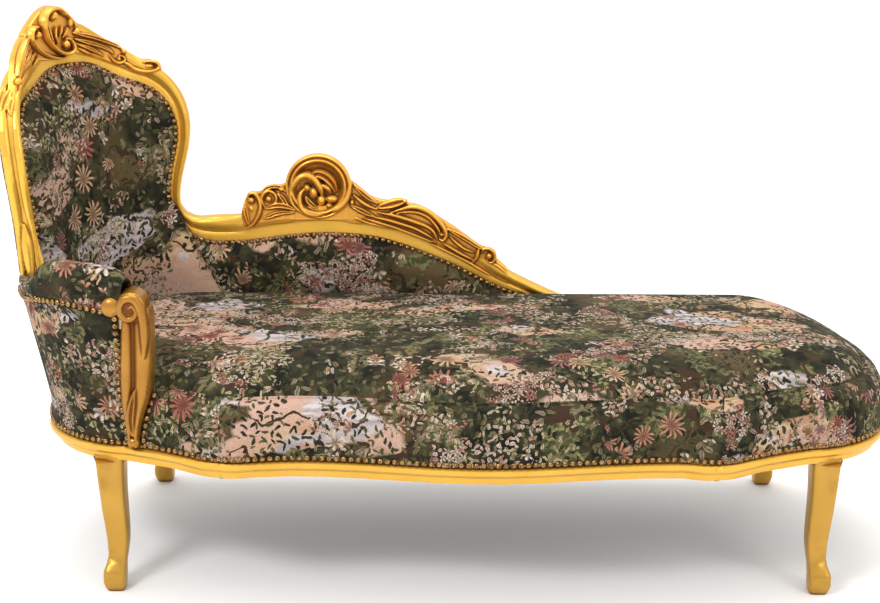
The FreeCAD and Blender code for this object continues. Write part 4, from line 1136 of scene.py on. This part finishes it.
stile_strands = (
    (round_form, 1, 7, ((24, 905, 4), (23, 890, 8), (23, 850, 9.5), (23, 800, 9.5), (22, 720, 9.5),
     (22, 682, 8), (25, 650, 6), (27, 612, 5), (27, 562, 4))),
    (round_form, 1, 5, ((1, 896, 3), (0, 880, 6), (0, 800, 8), (0, 720, 8), (-1, 682, 6), (-3, 650, 4.5),
     (-3, 612, 4), (-2, 562, 3))),
    (round_form, 1, 12, ((12, 676, 2.5), (12, 660, 7), (12, 638, 11), (12, 612, 11), (12, 588, 9),
     (12, 568, 6), (12, 556, 3))),
    (leaf_form, 0, 9, ((24, 892, 2), (22, 903, 7), (18, 916, 8), (12, 928, 6.5), (6, 938, 2))),
    (leaf_form, 0, 8, ((8, 888, 2), (9, 900, 6), (7, 912, 6.5), (3, 922, 2))),
    (leaf_form, 0, 7, ((29, 908, 2), (28, 920, 6), (24, 932, 6), (18, 942, 2))),
)
carve("stile_mouldings", stile_place, stile_strands, grain=1.4, rounds=3, finish=plain_gilding)

# Rocaille: a raised round on the low back, a deep dish inside a moulded rim, filled by two curling
# bands, small petals and beads. It is turned and carved from its own block.
rocaille_x = -319
rocaille_z = 686


def rocaille_place(x, z, out):
    """A place on the rocaille's own upright plane."""
    return Vector((x, low_point(rocaille_x, rocaille_z, out).y, z))


def round_ring(radius, out):
    turns = [2 * math.pi * n / 64 for n in range(64)]
    return [rocaille_place(rocaille_x + radius * math.cos(t), rocaille_z + radius * math.sin(t), out)
            for t in turns]


rocaille_body = bmesh.new()
add_loft(rocaille_body, [round_ring(*ring) for ring in (
    (69, carving_back), (71, 6), (71, -6), (70, -11), (67.5, -13.5), (65, -12), (63.5, -8.5), (62, -9),
    (60, -13.5), (57.5, -14.5), (55, -12), (52, -5), (47, 2), (38, 6), (22, 8), (6, 7))])
rocaille_strands = (
    (round_form, 0, 17, ((-362, 628, 3), (-372, 643, 5), (-378, 660, 6.5), (-378, 678, 7.5), (-371, 693, 8.5),
     (-359, 706, 9), (-345, 711, 9), (-331, 706, 9), (-320, 694, 8.5), (-313, 680, 7), (-311, 664, 3))),
    (round_form, 0, 16, ((-288, 641, 2.5), (-304, 630, 5.5), (-327, 624, 7), (-347, 630, 7.5),
     (-357, 643, 7.5), (-360, 657, 7), (-357, 671, 5.5), (-348, 681, 2.5))),
    (leaf_form, 1, 15, ((-338, 704, 3), (-322, 714, 9), (-303, 708, 11), (-288, 693, 10), (-281, 675, 4))),
    (round_form, 0, 14, ((-321, 690, 2.5), (-307, 688, 6), (-297, 681, 6), (-292, 672, 2.5))),
    (round_form, -6, 11, ((-249, 702, 2.5), (-251, 684, 5.5), (-256, 665, 7.5), (-266, 648, 8.5),
     (-281, 637, 7), (-297, 634, 3))),
    (leaf_form, -1, 11, ((-347, 665, 2), (-341, 655, 5.5), (-332, 646, 6), (-320, 638, 2.5))),
)
rocaille_beads = (
    (-329, 672, -1, 10, 13, 12), (-313, 655, -1, 10, 12, 12), (-290, 659, -3, 14, 9, 12),
    (-343, 683, 0, 8, 9, 12), (-296, 645, -2, 8, 6, 11),
)
carve("rocaille_round", rocaille_place, rocaille_strands, rocaille_beads, ["low_back_rocaille"],
      body=rocaille_body, grain=1.2)

# Leaf on the head side of the rocaille: two small scrolls with balls, a top leaf and blades that
# lie along the rail.
left_grounds = (
    ((-486, 596, 632, 4), (-476, 596, 660, 8), (-466, 596, 669, 10), (-442, 600, 674, 12),
     (-410, 604, 684, 12), (-386, 606, 690, 11), (-376, 608, 666, 10), (-365, 610, 642, 7),
     (-319, 611, 640, 4)),
)
left_strands = (
    (leaf_form, -2, 8, ((-480, 650, 1.4), (-477, 636, 5), (-474, 618, 5.5), (-470, 602, 1.8))),
    (round_form, -4, 11, ((-470, 659, 2), (-469, 668, 3.6), (-459, 672, 4.2), (-449, 663, 4.8),
     (-444, 646, 4.8), (-446, 630, 4.8), (-453, 615, 4.2), (-463, 602, 3.2), (-478, 594, 1.2))),
    (round_form, -4, 10, ((-434, 641, 1.6), (-441, 657, 3.8), (-437, 670, 4.2), (-426, 677, 4.2),
     (-413, 671, 4), (-409, 658, 3.6), (-416, 646, 3), (-427, 643, 1.4))),
    (leaf_form, -4, 10, ((-443, 672, 1.4), (-429, 683, 4), (-412, 687, 4.8), (-398, 684, 4.4),
     (-384, 672, 1.6))),
    (leaf_form, -5, 10, ((-436, 637, 1.6), (-420, 643, 6), (-403, 646, 7), (-386, 643, 6), (-368, 635, 2))),
    (leaf_form, -3, 8, ((-439, 615, 1.2), (-425, 621, 5), (-410, 627, 5.4), (-391, 630, 4.8),
     (-370, 630, 1.6))),
    (leaf_form, -5, 10, ((-406, 672, 1.6), (-397, 663, 5.4), (-389, 651, 4.6), (-380, 640, 1.4))),
)
left_beads = (
    (-463, 656, -4, 8, 8, 10), (-426, 659, -4, 8, 8, 10), (-398, 680, -6, 6, 5, 8), (-464, 636, -2, 5, 7, 6),
)
carve("low_back_scroll_leaf", low_point, left_strands, left_beads, ["low_back_leaf"], left_grounds, grain=1.2)

# Acanthus on the foot side of the rocaille: long reeds that part into a curled tip, a volute and a
# trailing leaf with a bud.
right_grounds = (
    ((-319, 611, 640, 4), (-272, 610, 644, 6), (-259, 608, 680, 7), (-252, 606, 698, 7), (-228, 604, 682, 9),
     (-198, 602, 660, 10), (-143, 590, 652, 10), (-100, 578, 644, 10), (-56, 558, 618, 9), (-13, 534, 590, 8),
     (31, 508, 558, 7), (58, 492, 549, 6), (68, 484, 529, 5), (92, 472, 506, 3)),
)
right_strands = (
    (leaf_form, -4, 11, ((-250, 646, 2), (-231, 638, 6), (-213, 629, 5.5), (-197, 621, 1.6))),
    (leaf_form, -5, 10, ((-242, 691, 1.6), (-226, 676, 5), (-210, 663, 5), (-191, 650, 1.6))),
    (round_form, -5, 9, ((-244, 670, 1.6), (-229, 657, 4.4), (-214, 647, 4.4), (-192, 637, 1.6))),
    (leaf_form, -6, 12, ((-194, 641, 1.6), (-177, 646, 8), (-159, 651, 10.5), (-143, 655, 9),
     (-129, 657, 2))),
    (round_form, -7, 11, ((-164, 631, 1.6), (-141, 639, 3.8), (-119, 644, 4.8), (-97, 641, 5.4),
     (-76, 630, 5.6), (-58, 613, 5.4), (-46, 595, 4.8), (-43, 581, 4.2), (-50, 571, 3.6), (-58, 575, 1.8))),
    (round_form, -4, 10, ((-152, 629, 1.4), (-126, 633, 3.6), (-102, 631, 4.2), (-81, 621, 4.2),
     (-67, 606, 4.2), (-58, 592, 3.6), (-57, 581, 1.6))),
    (round_form, -5, 10, ((-191, 631, 1.4), (-159, 626, 4.2), (-131, 618, 4.8), (-107, 610, 4.8),
     (-86, 602, 4.4), (-72, 592, 4.2), (-65, 580, 3), (-62, 572, 1.4))),
    (round_form, -4, 10, ((-200, 621, 1.4), (-169, 615, 4.2), (-138, 606, 4.4), (-111, 597, 4.2),
     (-88, 585, 3.6), (-71, 574, 1.2))),
    (round_form, -3, 9, ((-222, 619, 1.4), (-193, 610, 3.8), (-159, 600, 3.8), (-126, 588, 3.6),
     (-95, 576, 3.2), (-71, 566, 1.2))),
    (round_form, -2, 7, ((-239, 618, 1.2), (-210, 607, 3.2), (-179, 600, 3), (-150, 592, 1.2))),
    (leaf_form, -5, 10, ((-42, 597, 1.4), (-18, 585, 4.6), (6, 571, 4.8), (26, 558, 4), (42, 551, 1.6))),
    (round_form, -4, 8, ((-36, 581, 1.2), (-22, 567, 3.4), (-4, 553, 3.4), (18, 544, 1.4))),
    (round_form, -2, 7, ((-78, 563, 1.2), (-51, 551, 3.4), (-25, 538, 3.6), (2, 524, 3.6), (26, 509, 3.2),
     (54, 492, 1.4))),
    (round_form, -4, 8, ((-52, 566, 1.2), (-30, 553, 3.6), (-8, 540, 3.6), (16, 527, 1.2))),
    (round_form, -4, 10, ((29, 556, 1.6), (26, 543, 4), (23, 531, 3.6), (14, 521, 1.4))),
    (round_form, -4, 9, ((34, 543, 1.6), (40, 552, 3.6), (52, 552, 4), (62, 543, 4.2), (63, 530, 3.8),
     (55, 521, 3), (45, 526, 1.5))),
    (round_form, -2, 7, ((52, 520, 1.4), (68, 514, 3.6), (84, 501, 3.4), (98, 489, 1.2))),
)
right_beads = (
    (51, 536, -4, 7, 8, 9), (-246, 652, -5, 5, 7, 9), (-52, 583, -4, 4.5, 5, 8), (-132, 656, -6, 6, 5, 9),
)
carve("low_back_acanthus_leaf", low_point, right_strands, right_beads, ["low_back_acanthus"], right_grounds)

# Arm post: a carved upright with two rounded reeds down its front, a scroll at its head with a
# second roll beside it, and a small foot piece on the rail.
post_plane = 289


def post_place(x, z, out):
    """A place on the post's front plane; out is measured back from it."""
    return Vector((x, out - post_plane, z))


post_body = bmesh.new()
sections = []
for z, left, right, front, back in refine(post_stations, 4):
    section = [Vector((post_x + left, -back, z)), Vector((post_x + right, -back, z))]
    for step in range(19):
        share = 1 - step / 18
        reed = math.sin(math.pi * (share / 0.42 if share < 0.42 else (share - 0.42) / 0.58))
        y = -front + 6 - 12 * max(0.0, reed) ** 0.8
        section.append(Vector((post_x + left + (right - left) * share, y, z)))
    sections.append(section)
add_loft(post_body, sections)
roll_turns = [2 * math.pi * n / 40 for n in range(40)]
for x, z, radius, front, back in ((-618, 577, 28, 294, 245), (-650, 577, 20, 288, 246)):
    roll_form = ((radius - 1.5, -back), (radius, -back - 2), (radius, -front + 3), (radius - 1.2, -front + 1),
                 (radius - 4, -front))
    add_loft(post_body, [[Vector((x + size * math.cos(t), y, z + size * math.sin(t))) for t in roll_turns]
                         for size, y in roll_form])
post_strands = (
    (round_form, -3, 9, ((-597, 480, 3), (-594, 520, 8), (-595, 552, 8.5), (-601, 580, 8.5), (-613, 594, 8.5),
     (-628, 592, 8), (-637, 579, 7.5), (-635, 564, 7), (-624, 555, 6.5), (-612, 559, 6), (-607, 570, 5),
     (-613, 579, 4), (-621, 576, 2.5))),
    (leaf_form, -4, 9, ((-616, 420, 1), (-620, 405, 5), (-624, 385, 8), (-627, 362, 8), (-626, 342, 6),
     (-625, 328, 2))),
)
post_beads = ((-652, 577, -2, 19, 19, 11), (-625, 315, -1, 12, 10, 9))
# The post's dark gilding is painted shade.
carve("arm_post_carved", post_place, post_strands, post_beads, ["arm_post"], body=post_body, grain=1.2,
      breadth=90, finish=post_gilding_painted_shade)

# Legs: four cabriole legs, each sawn and rounded from one block with its top left square between
# the rails, hollowed below the rail and above a small scrolled toe.
leg_top_x = 683
leg_top_y = 228
leg_foot_x = 679
leg_foot_y = 257
rear_rake = 24
rail_bottom = 262
sway_way = (0.6, 0.8)
leg_form = ((0, 0, 31, 0), (6, 0.02, 37, 1), (18, 0.07, 42, 3), (34, 0.13, 42, 2), (52, 0.2, 37, -3),
            (72, 0.27, 37, -8), (100, 0.38, 41, -10), (140, 0.53, 45, -7), (190, 0.72, 50, -2),
            (232, 0.88, 55, 0), (272, 1, 58, 0))
rail_line = [(point.x, point.y) for point in seat_line(9)]


def under_rail(x, y, share):
    """Draw a point in under the rail's edge where it would stand out past it."""
    inside = False
    found = []
    for (x0, y0), (x1, y1) in zip(rail_line, rail_line[1:] + rail_line[:1]):
        if (y0 > y) != (y1 > y) and x < x0 + (x1 - x0) * (y - y0) / (y1 - y0):
            inside = not inside
        wide, deep = x1 - x0, y1 - y0
        along = min(1, max(0, ((x - x0) * wide + (y - y0) * deep) / max(wide * wide + deep * deep, 1e-9)))
        spot = (x0 + wide * along, y0 + deep * along)
        found.append((math.hypot(spot[0] - x, spot[1] - y), spot))
    if inside:
        return x, y
    edge_x, edge_y = min(found)[1]
    return x + (edge_x - x) * share, y + (edge_y - y) * share


def dent(mesh, place, reach, push):
    """Press or raise a soft patch; reach is its half-size and push how far its middle moves."""
    middle = in_frame(*place)
    for vertex in mesh.vertices:
        away = vertex.co - middle
        near = 1 - sum((away[n] * 1000 / reach[n]) ** 2 for n in range(3))
        if near > 0:
            vertex.co += Vector(push) / 1000 * near ** 1.5


for node, side_x, side_y in (("leg_front_head", -1, -1), ("leg_front_foot", 1, -1), ("leg_rear_head", -1, 1),
                             ("leg_rear_foot", 1, 1)):
    foot_y = leg_foot_y + (rear_rake if side_y > 0 else 0)
    sections = []
    for z, share, size, sway in refine(leg_form, 5):
        x = leg_foot_x + (leg_top_x - leg_foot_x) * share + sway_way[0] * sway
        y = foot_y + (leg_top_y - foot_y) * share + sway_way[1] * sway
        section = []
        for n in range(32):
            turn = 2 * math.pi * n / 32 * side_x * side_y
            across = [math.copysign(abs(f(turn)) ** 0.42, f(turn)) * size / 2 for f in (math.cos, math.sin)]
            spot = (side_x * x + across[0], side_y * y + across[1])
            section.append(Vector((*under_rail(*spot, held((z - 150) / 80)), z)))
        sections.append(section)
    leg_mesh = bpy.data.meshes.new(node)
    with edited(leg_mesh) as leg:
        add_loft(leg, sections)
        bmesh.ops.recalc_face_normals(leg, faces=leg.faces)
    toe = (side_x * (leg_foot_x + 10), side_y * (foot_y + 16))
    dent(leg_mesh, (*toe, 42), (17, 22, 20), (side_x * 3, side_y * 6, 0))
    dent(leg_mesh, (*toe, 68), (15, 26, 16), (-side_x * 2, -side_y * 7, 0))
    knee_place = (side_x * (leg_top_x + 12), side_y * (leg_top_y + 30), 232)
    dent(leg_mesh, knee_place, (15, 26, 30), (0, -side_y * 6, 0))
    leg_mesh.shade_smooth()
    # The legs' darker gilding stands for shade: painted shade.
    piece_object("cabriole_" + node[4:], leg_mesh, leg_gilding_painted_shade)
    block_mesh = merged_copy(node)
    with edited(block_mesh) as block:
        cut = cut_across(block, (0, 0, rail_bottom / 1000), (0, 0, 1), clear_inner=True)["geom_cut"]
        bmesh.ops.edgeloop_fill(block, edges=[part for part in cut if isinstance(part, bmesh.types.BMEdge)])
    sharpen(block_mesh, crease_angle)
    upper = piece_object("gilded_" + node + "_block", block_mesh, plain_gilding)
    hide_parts(node)

# Nails: domed antique brass heads, close set, along every edge of the cloth.
nail_pitch = 13.6
nail_width = 11
nail_level = 306
brass, brass_tree, brass_shader = material_tree("antique_brass")
tarnish = noise(brass_tree, object_place(brass_tree), 240.0, 3.0)
brass_tone = mixed(brass_tree, spread(brass_tree, tarnish, 0.4, 0.62), (0.42, 0.24, 0.08), (0.1, 0.05, 0.02))
set_inputs(brass_tree, brass_shader, {"Base Color": brass_tone, "Metallic": 0.9,
                                      "Roughness": maths(brass_tree, "MULTIPLY_ADD", tarnish, 0.3, 0.15)})

nail_tree = bpy.data.node_groups.new("nail_rows", "GeometryNodeTree")
nail_tree.interface.new_socket("Geometry", in_out="INPUT", socket_type="NodeSocketGeometry")
pitch_input = nail_tree.interface.new_socket("Pitch", in_out="INPUT", socket_type="NodeSocketFloat")
width_input = nail_tree.interface.new_socket("Head width", in_out="INPUT", socket_type="NodeSocketFloat")
nail_tree.interface.new_socket("Geometry", in_out="OUTPUT", socket_type="NodeSocketGeometry")
given = nail_tree.nodes.new("NodeGroupInput").outputs
rows = part_of(nail_tree, "GeometryNodeMeshToCurve", {"Mesh": given["Geometry"]})
spaced = part_of(nail_tree, "GeometryNodeResampleCurve", {"Curve": rows.outputs[0], "Length": given["Pitch"]},
                 mode="LENGTH")
half_width = maths(nail_tree, "MULTIPLY", given["Head width"], 0.5)
head = part_of(nail_tree, "GeometryNodeMeshUVSphere", {"Segments": 10, "Rings": 6, "Radius": half_width})
low_head = part_of(nail_tree, "GeometryNodeTransform", {"Geometry": head.outputs[0], "Scale": (1, 1, 0.68)})
way = part_of(nail_tree, "GeometryNodeInputNamedAttribute", {"Name": "way"}, data_type="FLOAT_VECTOR")
upright = part_of(nail_tree, "FunctionNodeAlignRotationToVector", {"Vector": way.outputs[0]}, axis="Z")
heads = part_of(nail_tree, "GeometryNodeInstanceOnPoints",
                {"Points": spaced.outputs[0], "Instance": low_head.outputs[0],
                 "Rotation": upright.outputs[0]})
last = part_of(nail_tree, "GeometryNodeRealizeInstances", {"Geometry": heads.outputs[0]})
last = part_of(nail_tree, "GeometryNodeSetShadeSmooth", {"Geometry": last.outputs[0]})
last = part_of(nail_tree, "GeometryNodeSetMaterial", {"Geometry": last.outputs[0], "Material": brass})
nail_tree.links.new(last.outputs[0], nail_tree.nodes.new("NodeGroupOutput").inputs[0])


def wrapped_way(angle):
    turn = math.radians(back_middle + min(angle, straight_angle))
    return Vector((math.cos(turn), -math.sin(turn), 0))


def nailed_at(angle, z):
    """A nail of the tall back, just inside the nail line; beside the front stile they lean to it."""
    beside_stile = held((-30 - angle) / 12)
    inwards = 0.9 if angle < 0 else -0.9
    below = 6 if z > 900 else 1
    lean_way = back_point(angle - 1, z) - back_point(angle, z)
    facing = wrapped_way(angle) + lean_way.normalized() * 0.8 * beside_stile
    return back_point(angle + inwards, z - below, -3.5 - 2.5 * beside_stile), facing.normalized()


outline = seat_line(1.6)
round_seat = []
for before, point, after in zip(outline[-1:] + outline, outline, outline[1:] + outline[:1]):
    side = (after - before).normalized()
    round_seat.append((Vector((point.x, point.y, nail_level)), Vector((side.y, -side.x, 0))))
to_front = Vector((0, -1, 0))
inner = [nailed_at(angle, z) for angle, z in front_line[::-1] + refine(rear_nails, 4)[1:]]
inner += [(low_point(x, z - 5, -3.6), to_front) for x, z in low_line if x < 330]
arm_nails = ((-50, 552), (-67, 554), (-81, 567), (-90, 573), (-97, 575), (-103, 573), (-109, 569),
             (-116, 568))
arm_run = [(back_point(angle, z, 37.5), -wrapped_way(angle)) for angle, z in refine(arm_nails, 3)]
post_nails_top, post_nails_foot, post_nails_step = 556, 312, 12
beside_post, before_post = [], []
for z in range(post_nails_top, post_nails_foot, -post_nails_step):
    left, right = post_edges(z)
    angle = angle_at(left - 5, z, arm_depth)
    beside_post.append((back_point(angle, z, 33 + 3.5 * (z - 300) / 270), -wrapped_way(angle)))
    if z < 408:
        inset = 4 + 14 * max(0.0, (z - 350) / 50) ** 1.5
        before_post.append((Vector((right + 6, inset - 287, z)), to_front))
spots, edges, ways = [], [], []
for run in (round_seat, inner, arm_run, beside_post, before_post):
    start = len(spots)
    spots += [in_frame(*spot) for spot, facing in run]
    ways += [facing for spot, facing in run]
    edges += [(n, n + 1) for n in range(start, len(spots) - 1)]
    if run is round_seat:
        edges.append((len(spots) - 1, start))
nail_mesh = bpy.data.meshes.new("nail_lines")
nail_mesh.from_pydata(spots, edges, [])
facing = nail_mesh.attributes.new("way", "FLOAT_VECTOR", "POINT")
for place, way in enumerate(ways):
    facing.data[place].vector = way
nail_lines = in_scene("nail_lines", nail_mesh)
setter = nail_lines.modifiers.new("nails", "NODES")
setter.node_group = nail_tree
setter[pitch_input.identifier] = nail_pitch / 1000
setter[width_input.identifier] = nail_width / 1000
bpy.context.view_layer.update()
piece_object("upholstery_nails", finished_mesh(nail_lines), brass)

# Hidden pieces keep their frame nodes in plain beech and jute. Only the dust cover under the seat
# is a piece of its own: one thin black cloth, stapled on all round and cut out for the legs.


def plain_finish(name, light, dark, scale, rough, grain):
    finish, tree, shader = material_tree(name)
    streaks = noise(tree, vector_maths(tree, "MULTIPLY", object_place(tree), grain), scale, 3.0)
    tone = mixed(tree, spread(tree, streaks, 0.35, 0.65), light, dark)
    set_inputs(tree, shader, {"Base Color": tone, "Roughness": rough})
    bump(tree, shader, streaks, 0.3, 0.0006)
    return finish


beech = plain_finish("beech", (0.55, 0.36, 0.2), (0.42, 0.25, 0.12), 18.0, 0.6, (1, 9, 9))
jute = plain_finish("jute", (0.42, 0.31, 0.17), (0.27, 0.18, 0.09), 260.0, 0.95, (1, 1, 1))
lining = plain_finish("black_lining", (0.02, 0.02, 0.021), (0.032, 0.032, 0.034), 420.0, 0.95, (1, 1, 1))
wooden = ("cross_rail_head", "cross_rail_foot", "rail_tenons", "corner_blocks", "stile_post_front",
          "stile_post_rear", "back_tacking_rail", "low_back_struts", "arm_rail")
woven = ("seat_webbing_long", "seat_webbing_cross", "seat_burlap", "back_webbing")
for hidden, finish in ((wooden, beech), (woven, jute)):
    for node in hidden:
        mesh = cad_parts[node].data
        mesh.materials.clear()
        mesh.materials.append(finish)
dust_cloth = piece_object("dust_cover_cloth", merged_copy("dust_cover"), lining)
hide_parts("dust_cover")
